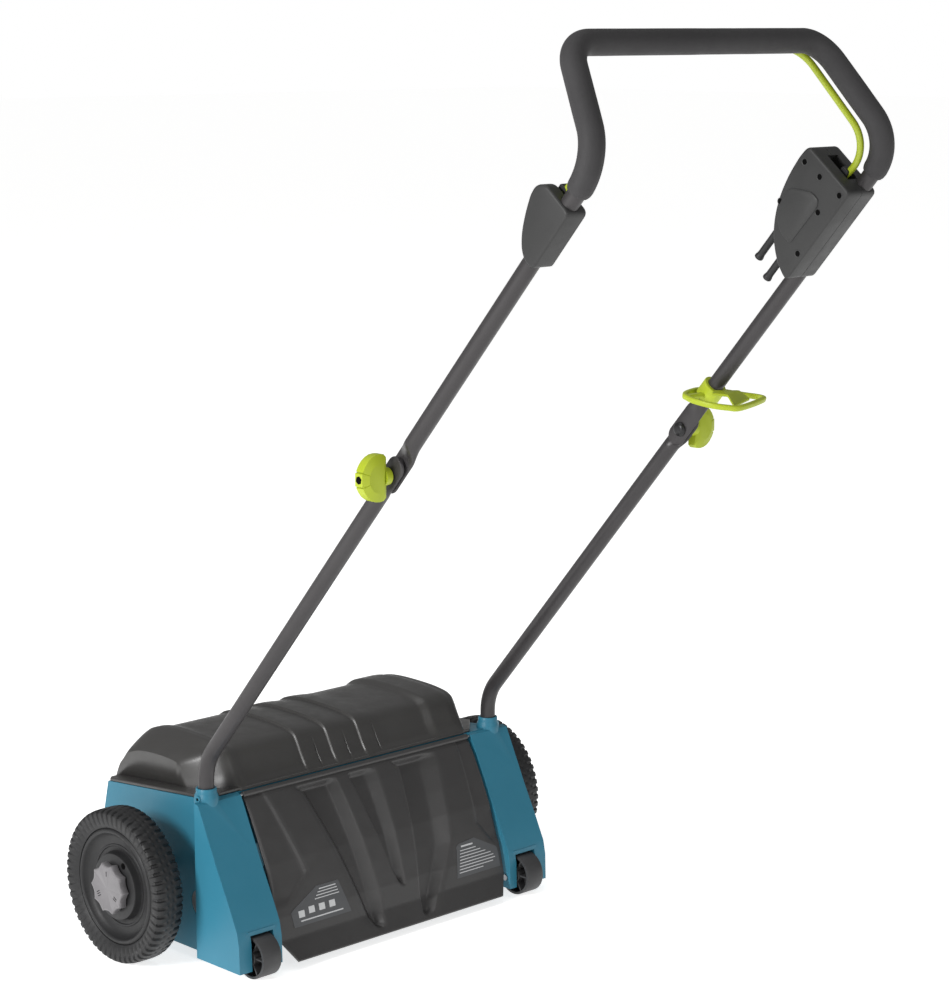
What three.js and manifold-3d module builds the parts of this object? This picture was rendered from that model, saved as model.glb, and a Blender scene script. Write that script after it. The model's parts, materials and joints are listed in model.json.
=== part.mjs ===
// Walk-behind electric lawn dethatcher.
// Millimetres. X to the operator's right, +Y forward, +Z up, ground at Z = 0.
// The inner groups are laid out from the big wheels' axle line (Y = 0); the outer group
// moves everything so that the origin is the bottom centre of the whole machine.
import * as THREE from 'three';
import { mergeVertices } from 'three/addons/utils/BufferGeometryUtils.js';
import Module from 'manifold-3d';

const wasm = await Module();
wasm.setup();

// ---------- driving dimensions ----------
const ORIGIN_SHIFT_Y = 287.5;        // bottom centre of the bounding box
const GAP = 0.3;                     // clearance between neighbouring pieces

const DECK_HALF = 235;               // side walls, outside
const WALL = 6;
const PILLAR_OUT = 252;
const PILLAR_IN = 188;
const DECK_TOP_REAR = 202;           // height of the rim at the back
const DECK_SLOPE = 0.0914;           // the rim drops towards the front
const DECK_REAR = -87;
const DECK_FRONT = 118;

const WHEEL_R = 93;
const TYRE_SIDES = 40;
const WHEEL_Z = WHEEL_R * Math.cos(Math.PI / TYRE_SIDES);   // flat of the tread on the ground
const TYRE_IN = 275;
const TYRE_OUT = 313;
const AXLE_R = 6;
const CRANK = 12;                    // eccentric throw of the height setting

const ROLLER_R = 26;
const ROLLER_SIDES = 20;
const ROLLER_Z = ROLLER_R * Math.cos(Math.PI / ROLLER_SIDES);
const ROLLER_Y = -154;
const ROLLER_IN = 203;
const ROLLER_OUT = 230;

const ROTOR_Y = -70;
const ROTOR_Z = 72;
const TINE_R = 56;
const TINE_PAIRS = 12;

const MOTOR_Y = 34;
const MOTOR_Z = 189;
const MOTOR_R = 41;
const MOTOR_PULLEY_R = 12;
const ROTOR_PULLEY_R = 20;

const TUBE_HALF = 230;               // spacing of the handle tubes
const TUBE_R = 9.5;
const TUBE_BORE = 8;
const HANDLE_Y0 = -126;              // a point on the straight handle line
const HANDLE_Z0 = 300;
const ALONG_Y = -0.652;              // direction up the handle
const ALONG_Z = 0.758;
const JOINT_T = 430;                 // fold bolt, along the line
const FLAT_T = 6;                    // thickness of the flattened tube ends

const GRIP_R = 14;
const BAR_Y = -623;
const BAR_Z = 1075;
const BAR_HALF = 194;
const ELBOW_Y = -698.4;
const ELBOW_Z = 966;

const FLAP_AXIS_Y = -87.5;
const FLAP_AXIS_Z = 198;

// ---------- helpers ----------
function toSolid(geometry) {
  const g = geometry.clone();
  g.deleteAttribute('normal');
  g.deleteAttribute('uv');
  const merged = mergeVertices(g, 1e-4);
  return new wasm.Manifold(new wasm.Mesh({
    numProp: 3,
    vertProperties: new Float32Array(merged.attributes.position.array),
    triVerts: new Uint32Array(merged.index.array),
  }));
}

function toGeometry(solid) {
  const mesh = solid.getMesh();
  const g = new THREE.BufferGeometry();
  g.setAttribute('position', new THREE.BufferAttribute(mesh.vertProperties, 3));
  g.setIndex(new THREE.BufferAttribute(mesh.triVerts, 1));
  g.computeVertexNormals();
  return g;
}

function join(first, ...rest) {
  return rest.reduce((sum, next) => sum.add(next), first);
}

function cut(first, ...rest) {
  return rest.reduce((left, next) => left.subtract(next), first);
}

// box given by its limits on the three axes
function block(x0, x1, y0, y1, z0, z1) {
  const g = new THREE.BoxGeometry(x1 - x0, y1 - y0, z1 - z0);
  g.translate((x0 + x1) / 2, (y0 + y1) / 2, (z0 + z1) / 2);
  return toSolid(g);
}

// cylinder along X, a facet turned downwards
function rodX(x0, x1, y, z, r, sides = 24, r2 = r) {
  const g = new THREE.CylinderGeometry(r2, r, x1 - x0, sides, 1);
  g.rotateY(Math.PI / sides);
  g.rotateZ(-Math.PI / 2);
  g.translate((x0 + x1) / 2, y, z);
  return toSolid(g);
}

function rodZ(x, y, z0, z1, r, sides = 24, r2 = r) {
  const g = new THREE.CylinderGeometry(r2, r, z1 - z0, sides, 1);
  g.rotateX(Math.PI / 2);
  g.translate(x, y, (z0 + z1) / 2);
  return toSolid(g);
}

// outline in (Y, Z) drawn out along X
function profileX(outline, x0, x1) {
  const shape = new THREE.Shape(outline.map(([y, z]) => new THREE.Vector2(y, z)));
  const g = new THREE.ExtrudeGeometry(shape, { depth: x1 - x0, bevelEnabled: false });
  g.applyMatrix4(new THREE.Matrix4().set(
    0, 0, 1, x0,
    1, 0, 0, 0,
    0, 1, 0, 0,
    0, 0, 0, 1));
  return toSolid(g);
}

// outline in (X, Z) drawn out along Y
function profileY(outline, y0, y1) {
  const flipped = outline.map(([x, z]) => new THREE.Vector2(x, z));
  const shape = new THREE.Shape(flipped);
  const g = new THREE.ExtrudeGeometry(shape, { depth: y1 - y0, bevelEnabled: false });
  g.applyMatrix4(new THREE.Matrix4().set(
    1, 0, 0, 0,
    0, 0, -1, y1,
    0, 1, 0, 0,
    0, 0, 0, 1));
  return toSolid(g);
}

// takes away everything beyond a plane
function trim(solid, point, normal) {
  const n = new THREE.Vector3(...normal).normalize();
  const size = 900;
  const g = new THREE.BoxGeometry(size, size, size);
  g.translate(0, 0, size / 2);
  const turn = new THREE.Quaternion().setFromUnitVectors(new THREE.Vector3(0, 0, 1), n);
  g.applyMatrix4(new THREE.Matrix4().makeRotationFromQuaternion(turn));
  g.translate(...point);
  return solid.subtract(toSolid(g));
}

// ring or disc turned about an axis along X; the outline is (radius, x)
function turnedX(outline, y, z, sides) {
  const points = outline.map(([r, x]) => new THREE.Vector2(r, x));
  const g = new THREE.LatheGeometry(points, sides);
  g.rotateY(Math.PI / sides);
  g.rotateZ(-Math.PI / 2);
  g.translate(0, y, z);
  const solid = toSolid(g);
  return solid;
}

// path through given points, each point one section of the tube
class BentPath extends THREE.Curve {
  constructor(points) {
    super();
    this.points = points;
  }
  getPoint(t) {
    const i = Math.round(t * (this.points.length - 1));
    return this.points[i].clone();
  }
  getPointAt(u) {
    return this.getPoint(u);
  }
  getTangentAt(u, target = new THREE.Vector3()) {
    const i = Math.round(u * (this.points.length - 1));
    const before = this.points[Math.max(i - 1, 0)];
    const after = this.points[Math.min(i + 1, this.points.length - 1)];
    const here = this.points[i];
    const a = here.clone().sub(before);
    const b = after.clone().sub(here);
    if (a.lengthSq() > 0) a.normalize();
    if (b.lengthSq() > 0) b.normalize();
    return target.copy(a.add(b)).normalize();
  }
}

// corner points become arcs: each entry is [x, y, z, bend radius, sections]
function bend(corners) {
  const out = [];
  corners.forEach(([x, y, z, radius = 0, sections = 5], i) => {
    const p = new THREE.Vector3(x, y, z);
    if (!radius) {
      out.push(p);
      return;
    }
    const [px, py, pz] = corners[i - 1];
    const [nx, ny, nz] = corners[i + 1];
    const d1 = new THREE.Vector3(px, py, pz).sub(p).normalize();
    const d2 = new THREE.Vector3(nx, ny, nz).sub(p).normalize();
    const half = d1.angleTo(d2) / 2;
    const cut1 = p.clone().addScaledVector(d1, radius / Math.tan(half));
    const centre = p.clone().addScaledVector(d1.clone().add(d2).normalize(), radius / Math.sin(half));
    const sweep = Math.PI - 2 * half;
    const u = cut1.clone().sub(centre).normalize();
    const w = d1.clone().negate().normalize();
    for (let k = 0; k <= sections; k += 1) {
      const a = (sweep * k) / sections;
      out.push(centre.clone()
        .addScaledVector(u, radius * Math.cos(a))
        .addScaledVector(w, radius * Math.sin(a)));
    }
  });
  return out;
}

function tubeAlong(points, outer, inner = 0, sides = 10) {
  const circle = (r) => {
    const list = [];
    for (let k = 0; k < sides; k += 1) {
      const a = (2 * Math.PI * k) / sides;
      list.push(new THREE.Vector2(r * Math.cos(a), r * Math.sin(a)));
    }
    return list;
  };
  const shape = new THREE.Shape(circle(outer));
  if (inner) shape.holes.push(new THREE.Path(circle(inner)));
  const g = new THREE.ExtrudeGeometry(shape, {
    steps: points.length - 1,
    extrudePath: new BentPath(points),
    curveSegments: 1,
  });
  return toSolid(g);
}

function onHandle(t, n = 0) {
  return [HANDLE_Y0 + ALONG_Y * t + ALONG_Z * n, HANDLE_Z0 + ALONG_Z * t - ALONG_Y * n];
}

// outline given as (along handle, forward-up of it) drawn out along X
function handleProfile(outline, x0, x1) {
  return profileX(outline.map(([t, n]) => onHandle(t, n)), x0, x1);
}

function rimHeight(y) {
  return DECK_TOP_REAR - DECK_SLOPE * (y - DECK_REAR);
}

const machine = new THREE.Group();
machine.position.y = ORIGIN_SHIFT_Y;

function add(name, solid, colour, roughness, metalness = 0) {
  const material = new THREE.MeshStandardMaterial({ color: colour, roughness, metalness });
  const mesh = new THREE.Mesh(toGeometry(solid), material);
  mesh.name = name;
  machine.add(mesh);
  return mesh;
}

const BLUE = 0x31758f;
const CHARCOAL = 0x3f3f3f;
const BLACK = 0x262627;
const TUBE = 0x55565a;
const LIME = 0xc3d33c;
const STEEL = 0x9a9c9f;

// ---------- deck ----------
function deckHousing() {
  const body = profileX([
    [-83.7, rimHeight(-83.7)], [-83.7, 12], [112, 12], [120, 60], [124, 95],
    [DECK_FRONT, 143], [108, rimHeight(108)],
  ], -DECK_HALF, DECK_HALF);
  const inside = DECK_HALF - WALL;
  // rotor chamber, open below and behind
  const arch = [[-120, 0], [-10, 0], [-10, ROTOR_Z]];
  for (let k = 1; k <= 8; k += 1) {
    const a = (Math.PI / 2) * (k / 8);
    arch.push([ROTOR_Y + 60 * Math.cos(a), ROTOR_Z + 60 * Math.sin(a)]);
  }
  arch.push([-120, ROTOR_Z + 60]);
  const chamber = profileX(arch, -inside, inside);
  // front underside, open below
  const under = [[-5, 0], [106, 0], [114, 60], [118, 95], [113, 133], [-44, 133]];
  for (let k = 6; k >= 0; k -= 1) {
    const a = (Math.PI / 2) * (k / 8);
    under.push([ROTOR_Y + 65 * Math.cos(a), ROTOR_Z + 65 * Math.sin(a)]);
  }
  const front = profileX(under, -inside, inside);
  // motor tray, open above
  const tray = profileX([[-77, 230], [-77, 139], [109, 139], [112, 150], [101, 230]], -inside, inside);
  const rim = profileX([[-69, 230], [-69, 170], [96, 170], [96, 230]], -inside, inside);
  let shell = cut(body, chamber, front, tray, rim);

  for (const side of [-1, 1]) {
    const xs = side > 0 ? [PILLAR_IN, PILLAR_OUT] : [-PILLAR_OUT, -PILLAR_IN];
    let pillar = profileX([
      [-83, 12], [-83, 201], [-90.5, 199.5], [-107, 165], [-124, 130], [-145, 90], [-158.5, 62],
      [-162, 45], [-163, 12],
    ], ...xs);
    const hx = side > 0 ? [PILLAR_IN + 5, PILLAR_OUT - 5] : [-PILLAR_OUT + 5, -PILLAR_IN - 5];
    const hollow = profileX([
      [-88, 0], [-88, 178], [-95, 178], [-102, 163], [-119, 128], [-140, 88], [-153, 60],
      [-157, 44], [-158, 0],
    ], ...hx);
    pillar = pillar.subtract(hollow);
    // round-topped well for the roller
    const wellBlock = side > 0 ? [196, 237] : [-237, -196];
    const well = side > 0 ? [199.5, 233.5] : [-233.5, -199.5];
    pillar = pillar.add(block(...wellBlock, -160, -121, 12, 59));
    const passage = side > 0 ? [PILLAR_IN + 5, inside] : [-inside, -PILLAR_IN - 5];
    pillar = pillar.subtract(block(...passage, -89, -80, 0, ROTOR_Z + 60));
    pillar = pillar.subtract(rodX(...well, ROLLER_Y, ROLLER_Z, 28.5, 24));
    pillar = pillar.subtract(block(...well, -190, ROLLER_Y, 0, ROLLER_Z + 28.5));
    shell = shell.add(pillar);
    const x = side * TUBE_HALF;
    shell = shell.add(rodZ(x, -78.5, 140, 206, 14, 16));
    shell = shell.add(rodZ(x, -78.5, 206, 210, 14, 16, 12));
    shell = shell.add(rodZ(x, -78.5, 210, 214.5, 12, 16));
    shell = shell.subtract(rodZ(x, -78.5, 152, 230, TUBE_R + 0.5, 16));
    // clearance above the hood's corner and for the rotor's bearing
    const bearing = side > 0 ? [226, 240] : [-240, -226];
    shell = shell.subtract(rodX(...bearing, ROTOR_Y, ROTOR_Z, 17.3, 16));
    const pivot = side > 0 ? [220, 240] : [-240, -220];
    shell = shell.subtract(rodX(...pivot, 0, WHEEL_Z + CRANK, 7, 16));
    const pin = side > 0 ? [PILLAR_IN - 2, PILLAR_OUT - 4] : [-PILLAR_OUT + 4, -PILLAR_IN + 2];
    shell = shell.subtract(rodX(...pin, ROLLER_Y, ROLLER_Z, 4.3, 12));
    const hinge = side > 0 ? [186, 191] : [-191, -186];
    shell = shell.subtract(rodX(...hinge, FLAP_AXIS_Y, FLAP_AXIS_Z, 1.8, 12));
    const screw = side > 0 ? [239, 246] : [-246, -239];
    shell = shell.subtract(rodX(...screw, -78.5, 205, 2.4, 12));
  }
  // the belt passes from the motor tray into the side of the chamber
  return shell.subtract(profileX(beltLine(7), 194.6, 211.4));
}

// ---------- hood ----------
const HOOD_LINE = [
  [-84.5, 202], [-80, 212], [-74, 221], [-68, 232], [-63, 241], [-58, 247], [-50, 251], [-38, 253.5],
  [-20, 255.5], [0, 256.5], [24, 257], [46, 256.5], [66, 254], [84, 248], [100, 234], [112, 212],
  [121, 190], [124, 179],
];

function hoodBlock(inset) {
  const k = 1 - inset * 0.012;
  const line = HOOD_LINE.map(([y, z]) => [20 + (y - 20) * k, z - inset]);
  const low = inset ? 150 : 0;
  const outline = inset
    ? [...line, [line[line.length - 1][0], low], [line[0][0], low]]
    : [...line, [120, 178], [-84.5, rimHeight(-84.5) - 1]];
  let solid = profileX(outline.reverse(), -217 + inset, 217 - inset);
  const ends = [];
  for (const side of [-1, 1]) {
    ends.push([[side * (217 - inset), 0, 231.5 - inset], [side * 24, 0, 36]]);
    ends.push([[side * (201 - inset), 0, 247.5 - inset], [side * 8, 0, 21]]);
    ends.push([[side * (217 - inset), -25 + inset, 196], [side * 56, -32, 12]]);
    ends.push([[side * (217 - inset), 104 - inset, 196], [side * 30, 20, 8]]);
  }
  ends.forEach(([point, normal]) => {
    solid = trim(solid, point, normal);
  });
  return solid;
}

function motorHood() {
  let hood = hoodBlock(0);
  const top = (y) => rimHeight(y) + GAP;
  hood = trim(hood, [0, DECK_REAR, top(DECK_REAR)], [0, -DECK_SLOPE, -1]);
  // base flange that lies on the rim
  const flange = profileX([
    [-83.5, top(-83.5)], [107, top(107)], [110.5, top(110.5) + 4], [-83.5, top(-83.5) + 4],
  ], -DECK_HALF, DECK_HALF);
  hood = hood.add(flange);
  // shallow recess between the raised ends
  const above = [...HOOD_LINE.map(([y, z]) => [y, z - 3]), [124, 300], [-84.5, 300]];
  const recess = profileX(above.reverse(), -173, 134);
  hood = hood.subtract(trim(trim(recess, [0, -52, 200], [0, -1, 0]), [0, 92, 200], [0, 1, 0]));
  hood = hood.subtract(hoodBlock(4.5));
  // cut-outs round the two handle sockets
  for (const side of [-1, 1]) {
    hood = hood.subtract(rodZ(side * TUBE_HALF, -78.5, 190, 240, 14.6, 24));
    hood = hood.subtract(block(side > 0 ? 212 : -240, side > 0 ? 240 : -212, -95, -78, 190, 240));
  }
  return hood;
}

// ---------- motor and drive ----------
function motorBody() {
  const can = turnedX([
    [0, -78], [20, -78], [20, -74], [MOTOR_R - 3, -74], [MOTOR_R, -71], [MOTOR_R, 71],
    [MOTOR_R - 3, 74], [20, 74], [20, 78], [0, 78],
  ], MOTOR_Y, MOTOR_Z, 20);
  const feet = block(-60, 60, MOTOR_Y - 30, MOTOR_Y + 30, 139 + GAP, MOTOR_Z - 30);
  return can.add(feet).subtract(rodX(-90, 90, MOTOR_Y, MOTOR_Z, 5.2, 16));
}

function motorShaft() {
  return join(rodX(-98, 211, MOTOR_Y, MOTOR_Z, 5, 16), rodX(-82, -79, MOTOR_Y, MOTOR_Z, 9, 16));
}

function coolingFan() {
  let fan = rodX(-97, -84.3, MOTOR_Y, MOTOR_Z, 9, 16);
  fan = fan.add(rodX(-88, -84.3, MOTOR_Y, MOTOR_Z, 33, 16));
  for (let k = 0; k < 7; k += 1) {
    const g = new THREE.BoxGeometry(10.5, 2.2, 24);
    g.translate(-92, 0, 20);
    g.rotateX((2 * Math.PI * k) / 7);
    g.translate(0, MOTOR_Y, MOTOR_Z);
    fan = fan.add(toSolid(g));
  }
  return fan.subtract(rodX(-110, -80, MOTOR_Y, MOTOR_Z, 5.3, 16));
}

function pulley(y, z, radius, bore, x0, x1) {
  const disc = turnedX([
    [bore, x0], [radius + 3, x0], [radius, x0 + 2], [radius, x1 - 2],
    [radius + 3, x1], [bore, x1], [bore, x0],
  ], y, z, 20);
  return disc;
}

// outline of the open belt: an arc round each pulley joined by two straight runs
function beltLine(extra) {
  const ra = MOTOR_PULLEY_R + 0.9 + extra;
  const rb = ROTOR_PULLEY_R + 0.9 + extra;
  const dy = ROTOR_Y - MOTOR_Y;
  const dz = ROTOR_Z - MOTOR_Z;
  const dist = Math.hypot(dy, dz);
  const base = Math.atan2(dz, dy);
  const lean = Math.acos((ra - rb) / dist);
  const list = [];
  for (let k = 0; k <= 10; k += 1) {
    const t = base + lean + ((2 * Math.PI - 2 * lean) * k) / 10;
    list.push([MOTOR_Y + ra * Math.cos(t), MOTOR_Z + ra * Math.sin(t)]);
  }
  for (let k = 0; k <= 10; k += 1) {
    const t = base - lean + ((2 * lean) * k) / 10;
    list.push([ROTOR_Y + rb * Math.cos(t), ROTOR_Z + rb * Math.sin(t)]);
  }
  return list;
}

function driveBelt() {
  return profileX(beltLine(2.6), 199, 207).subtract(profileX(beltLine(0), 190, 216));
}

function rotorCarrier() {
  let rotor = rodX(-226, 226, ROTOR_Y, ROTOR_Z, 9, 12);
  rotor = rotor.add(rodX(-234, 234, ROTOR_Y, ROTOR_Z, 6, 12));
  for (const x of [-124, -62, 0, 62, 124]) {
    rotor = rotor.add(rodX(x - 1.5, x + 1.5, ROTOR_Y, ROTOR_Z, 24, 12));
  }
  return rotor;
}

// one double spring tine: a coil sleeve round the carrier's bar with two legs
function springTine(x, turn) {
  const leg = (dx) => tubeAlong([
    new THREE.Vector3(x + dx, 0, 14),
    new THREE.Vector3(x + dx, 4, 32),
    new THREE.Vector3(x + dx, -4, TINE_R - 1.5),
  ], 1.7, 0, 4);
  let ring = turnedX([
    [9.9, -9], [12.9, -9], [12.9, 9], [9.9, 9], [9.9, -9],
  ], 0, 0, 8);
  ring = ring.translate([x, 0, 0]);
  const hub = toSolid(new THREE.BoxGeometry(18, 4, 8).translate(x, 0, 14.5));
  let tine = join(ring, hub, leg(-7), leg(7));
  tine = tine.rotate([turn, 0, 0]).translate([0, ROTOR_Y, ROTOR_Z]);
  return tine;
}

function rotorBearing(side) {
  const x0 = side * 229.4;
  const x1 = side * 234.8;
  const lo = Math.min(x0, x1);
  const hi = Math.max(x0, x1);
  const ring = rodX(lo, hi, ROTOR_Y, ROTOR_Z, 17, 16);
  return ring.subtract(rodX(lo - 1, hi + 1, ROTOR_Y, ROTOR_Z, 6.15, 16));
}

// ---------- rear flap ----------
const FLAP_FACE = [
  [-90.6, 198], [-102.5, 178], [-116.8, 150], [-130.8, 120], [-140.7, 91], [-150, 60], [-156, 33],
  [-169.6, 11],
];

function flapSlab(from, to) {
  const outer = FLAP_FACE.map(([y, z]) => [y + from, z - from * 0.35]);
  const inner = FLAP_FACE.map(([y, z]) => [y + to, z - to * 0.35]);
  return [...outer, ...inner.reverse()];
}

function rearFlap() {
  let flap = profileX(flapSlab(0, 4.2), -183.6, 183.6);
  flap = flap.add(rodX(-183.6, 183.6, FLAP_AXIS_Y, FLAP_AXIS_Z, 3.5, 20));
  const skin = profileX(flapSlab(-6, 1.7), -183.6, 183.6);
  const channels = [
    [[-111, 192], [-56, 192], [-37, 52], [-43, 16]],
    [[-22, 192], [15, 192], [19, 62], [2, 80]],
    [[50, 192], [98, 192], [122, 188], [106, 90], [56, 20], [37, 20]],
  ];
  for (const outline of channels) {
    flap = flap.subtract(profileY(outline, -260, -60).intersect(skin));
  }
  for (const side of [-1, 1]) {
    const bottom = trim(
      block(side > 0 ? 120 : -184.6, side > 0 ? 184.6 : -120, -190, -100, -5, 60),
      [side * 183.6, 0, 34], [-side * 20, 0, 21]);
    flap = flap.subtract(bottom);
  }
  return flap.subtract(rodX(-190, 190, FLAP_AXIS_Y, FLAP_AXIS_Z, 1.6, 20));
}

// ---------- wheels ----------
function tyre(side) {
  const a = TYRE_IN;
  const b = TYRE_OUT;
  const c = (a + b) / 2;
  const outline = [
    [70, a + 6], [86, a], [WHEEL_R, a + 6], [WHEEL_R, b - 6], [86, b],
    [70, b - 6], [68, c], [70, a + 6],
  ];
  const pts = outline.map(([r, x]) => [r, side * x]);
  return turnedX(side > 0 ? pts : pts.reverse(), 0, WHEEL_Z, TYRE_SIDES);
}

function wheelDisc(side) {
  const outline = [
    [AXLE_R + 0.15, TYRE_IN + 1], [20, TYRE_IN + 1], [24, TYRE_IN + 12],
    [69.2, TYRE_IN + 6.5], [67.2, TYRE_IN + 19], [69.2, TYRE_OUT - 6.5],
    [56, TYRE_OUT - 15], [38, TYRE_OUT - 16], [36, TYRE_OUT - 5],
    [AXLE_R + 0.15, TYRE_OUT - 5], [AXLE_R + 0.15, TYRE_IN + 1],
  ];
  const pts = outline.map(([r, x]) => [r, side * x]);
  let disc = turnedX(side > 0 ? pts : pts.reverse(), 0, WHEEL_Z, 28);
  const x = side > 0 ? [270, 330] : [-330, -270];
  disc = disc.subtract(rodX(...x, -10, WHEEL_Z + 48, 3.5, 8));
  return disc;
}

// cranked axle: a cross shaft on the deck with an offset stub for each wheel
function crankedAxle() {
  const pivotZ = WHEEL_Z + CRANK;
  let axle = rodX(-262, 262, 0, pivotZ, 6.6, 16);
  for (const side of [-1, 1]) {
    const lo = side > 0 ? 256 : -268;
    const hi = side > 0 ? 268 : -256;
    axle = axle.add(rodX(lo, hi, 0, WHEEL_Z, 13, 16));
    axle = axle.add(block(lo, hi, -11, 11, WHEEL_Z, pivotZ));
    axle = axle.add(rodX(lo, hi, 0, pivotZ, 11, 16));
    const s0 = side > 0 ? 260 : -311;
    const s1 = side > 0 ? 311 : -260;
    axle = axle.add(rodX(s0, s1, 0, WHEEL_Z, AXLE_R, 20));
  }
  return axle;
}

function depthKnob() {
  const shape = new THREE.Shape();
  const lobes = 10;
  for (let k = 0; k < lobes * 4; k += 1) {
    const t = (2 * Math.PI * k) / (lobes * 4);
    const r = 30.6 + 1.4 * Math.cos(lobes * t);
    if (k === 0) shape.moveTo(r * Math.cos(t), r * Math.sin(t));
    else shape.lineTo(r * Math.cos(t), r * Math.sin(t));
  }
  const g = new THREE.ExtrudeGeometry(shape, {
    depth: 8.5, bevelEnabled: true, bevelThickness: 1.5, bevelSize: 1.2, bevelOffset: -1.2,
    bevelSegments: 1,
  });
  g.rotateY(-Math.PI / 2);
  g.translate(-TYRE_OUT + 5 - 1.8, 0, WHEEL_Z);
  let knob = toSolid(g);
  knob = knob.subtract(rodX(-330, -317.5, 0, WHEEL_Z, 9, 16));
  knob = knob.subtract(rodX(-311.3, -300, 0, WHEEL_Z, AXLE_R + GAP, 20));
  return knob;
}

function hubCap() {
  return cut(
    turnedX([[0, 308.3], [24, 308.3], [24, 314], [20, 319.8], [0, 319.8]], 0, WHEEL_Z, 24),
    rodX(300, 311.3, 0, WHEEL_Z, AXLE_R + GAP, 20));
}

function rearRoller(side) {
  const a = ROLLER_IN;
  const b = ROLLER_OUT;
  const outline = [
    [4.2, a], [9, a], [10, b - 8], [21, b - 8], [21, a], [ROLLER_R, a],
    [ROLLER_R, b], [21, b], [20, b - 4], [9, b - 4], [4.2, b - 1], [4.2, a],
  ];
  const pts = outline.map(([r, x]) => [r, side * x]);
  return turnedX(side > 0 ? pts : pts.reverse(), ROLLER_Y, ROLLER_Z, ROLLER_SIDES);
}

function rollerPin(side) {
  const lo = side > 0 ? PILLAR_IN - 2 : -PILLAR_OUT + 4;
  const hi = side > 0 ? PILLAR_OUT - 4 : -PILLAR_IN + 2;
  return rodX(lo + 0.5, hi - 0.5, ROLLER_Y, ROLLER_Z, 4, 12);
}

// ---------- handle ----------
function lowerTube(side) {
  const x = side * TUBE_HALF;
  const [y1, z1] = onHandle(398);
  const path = bend([[x, -78.5, 153], [x, -78.5, 244.8, 60, 5], [x, y1, z1]]);
  let tube = tubeAlong(path, TUBE_R, TUBE_BORE);
  const out = side > 0 ? [x + GAP, x + GAP + FLAT_T] : [x - GAP - FLAT_T, x - GAP];
  tube = tube.add(flatEnd(382, JOINT_T + 24, ...out));
  tube = tube.subtract(rodX(x - 20, x + 20, ...onHandle(JOINT_T), 4.3, 12));
  const screw = side > 0 ? [222, 246] : [-246, -222];
  return tube.subtract(rodX(...screw, -78.5, 205, 2.4, 8));
}

// flattened tube end with a round tip, wider than the tube
function flatEnd(from, to, x0, x1) {
  const up = to > from ? 1 : -1;
  const outline = [[from, -8], [from + up * 14, -12.5]];
  for (let k = 0; k <= 6; k += 1) {
    const a = -Math.PI / 2 + (Math.PI * k) / 6;
    outline.push([to - up * 12.5 + up * 12.5 * Math.cos(a), 12.5 * Math.sin(a)]);
  }
  outline.push([from + up * 14, 12.5], [from, 8]);
  return handleProfile(up > 0 ? outline.reverse() : outline, x0, x1);
}

function gripCorners(startT) {
  const [y, z] = onHandle(startT);
  return bend([
    [-TUBE_HALF, y, z],
    [-TUBE_HALF, ELBOW_Y, ELBOW_Z, 50, 4],
    [-BAR_HALF, BAR_Y, BAR_Z, 38, 5],
    [BAR_HALF, BAR_Y, BAR_Z, 38, 5],
    [TUBE_HALF, ELBOW_Y, ELBOW_Z, 50, 4],
    [TUBE_HALF, y, z],
  ]);
}

function upperTube() {
  const bent = gripCorners(837);
  const [y, z] = onHandle(462);
  const path = [
    new THREE.Vector3(-TUBE_HALF, y, z), ...bent, new THREE.Vector3(TUBE_HALF, y, z),
  ];
  let tube = tubeAlong(path, TUBE_R, TUBE_BORE);
  for (const side of [-1, 1]) {
    const x = side * TUBE_HALF;
    const inner = side > 0 ? [x - GAP - FLAT_T, x - GAP] : [x + GAP, x + GAP + FLAT_T];
    tube = tube.add(flatEnd(478, JOINT_T - 24, ...inner));
    tube = tube.subtract(rodX(x - 20, x + 20, ...onHandle(JOINT_T), 4.3, 12));
  }
  return tube;
}

function gripFoam() {
  return tubeAlong(gripCorners(837), GRIP_R, TUBE_R + GAP);
}

function foldBolt(side) {
  const [y, z] = onHandle(JOINT_T);
  const s = (a, b) => (side > 0 ? [a, b] : [-b, -a]);
  return join(
    rodX(...s(221, 256), y, z, 4, 12),
    rodX(...s(218.6, 223.2), y, z, 8.5, 16));
}

function wingKnob(side) {
  const [y, z] = onHandle(JOINT_T);
  const shape = new THREE.Shape();
  const r = 25.5;
  shape.moveTo(240, z - r);
  for (let k = 0; k <= 10; k += 1) {
    const a = -Math.PI / 2 + (Math.PI * k) / 10;
    shape.lineTo(246 + 33 * Math.cos(a), z + r * Math.sin(a));
  }
  shape.lineTo(240, z + r);
  shape.lineTo(240, z + 12);
  shape.lineTo(237.5, z + 12);
  shape.lineTo(237.5, z - 12);
  shape.lineTo(240, z - 12);
  const g = new THREE.ExtrudeGeometry(shape, {
    depth: 11, bevelEnabled: true, bevelThickness: 2, bevelSize: 1.6, bevelOffset: -1.6,
    bevelSegments: 1, curveSegments: 1,
  });
  g.applyMatrix4(new THREE.Matrix4().set(
    1, 0, 0, 0,
    0, 0, -1, y + 5.5,
    0, 1, 0, 0,
    0, 0, 0, 1));
  let knob = toSolid(g);
  knob = knob.add(rodX(236.8, 262, y, z, 10, 16));
  knob = knob.subtract(rodX(230, 256.5, y, z, 4.4, 12));
  knob = knob.subtract(rodX(262, 290, y, z, 4.2, 6));
  if (side < 0) {
    knob = knob.mirror([1, 0, 0]);
  }
  return knob;
}

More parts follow.
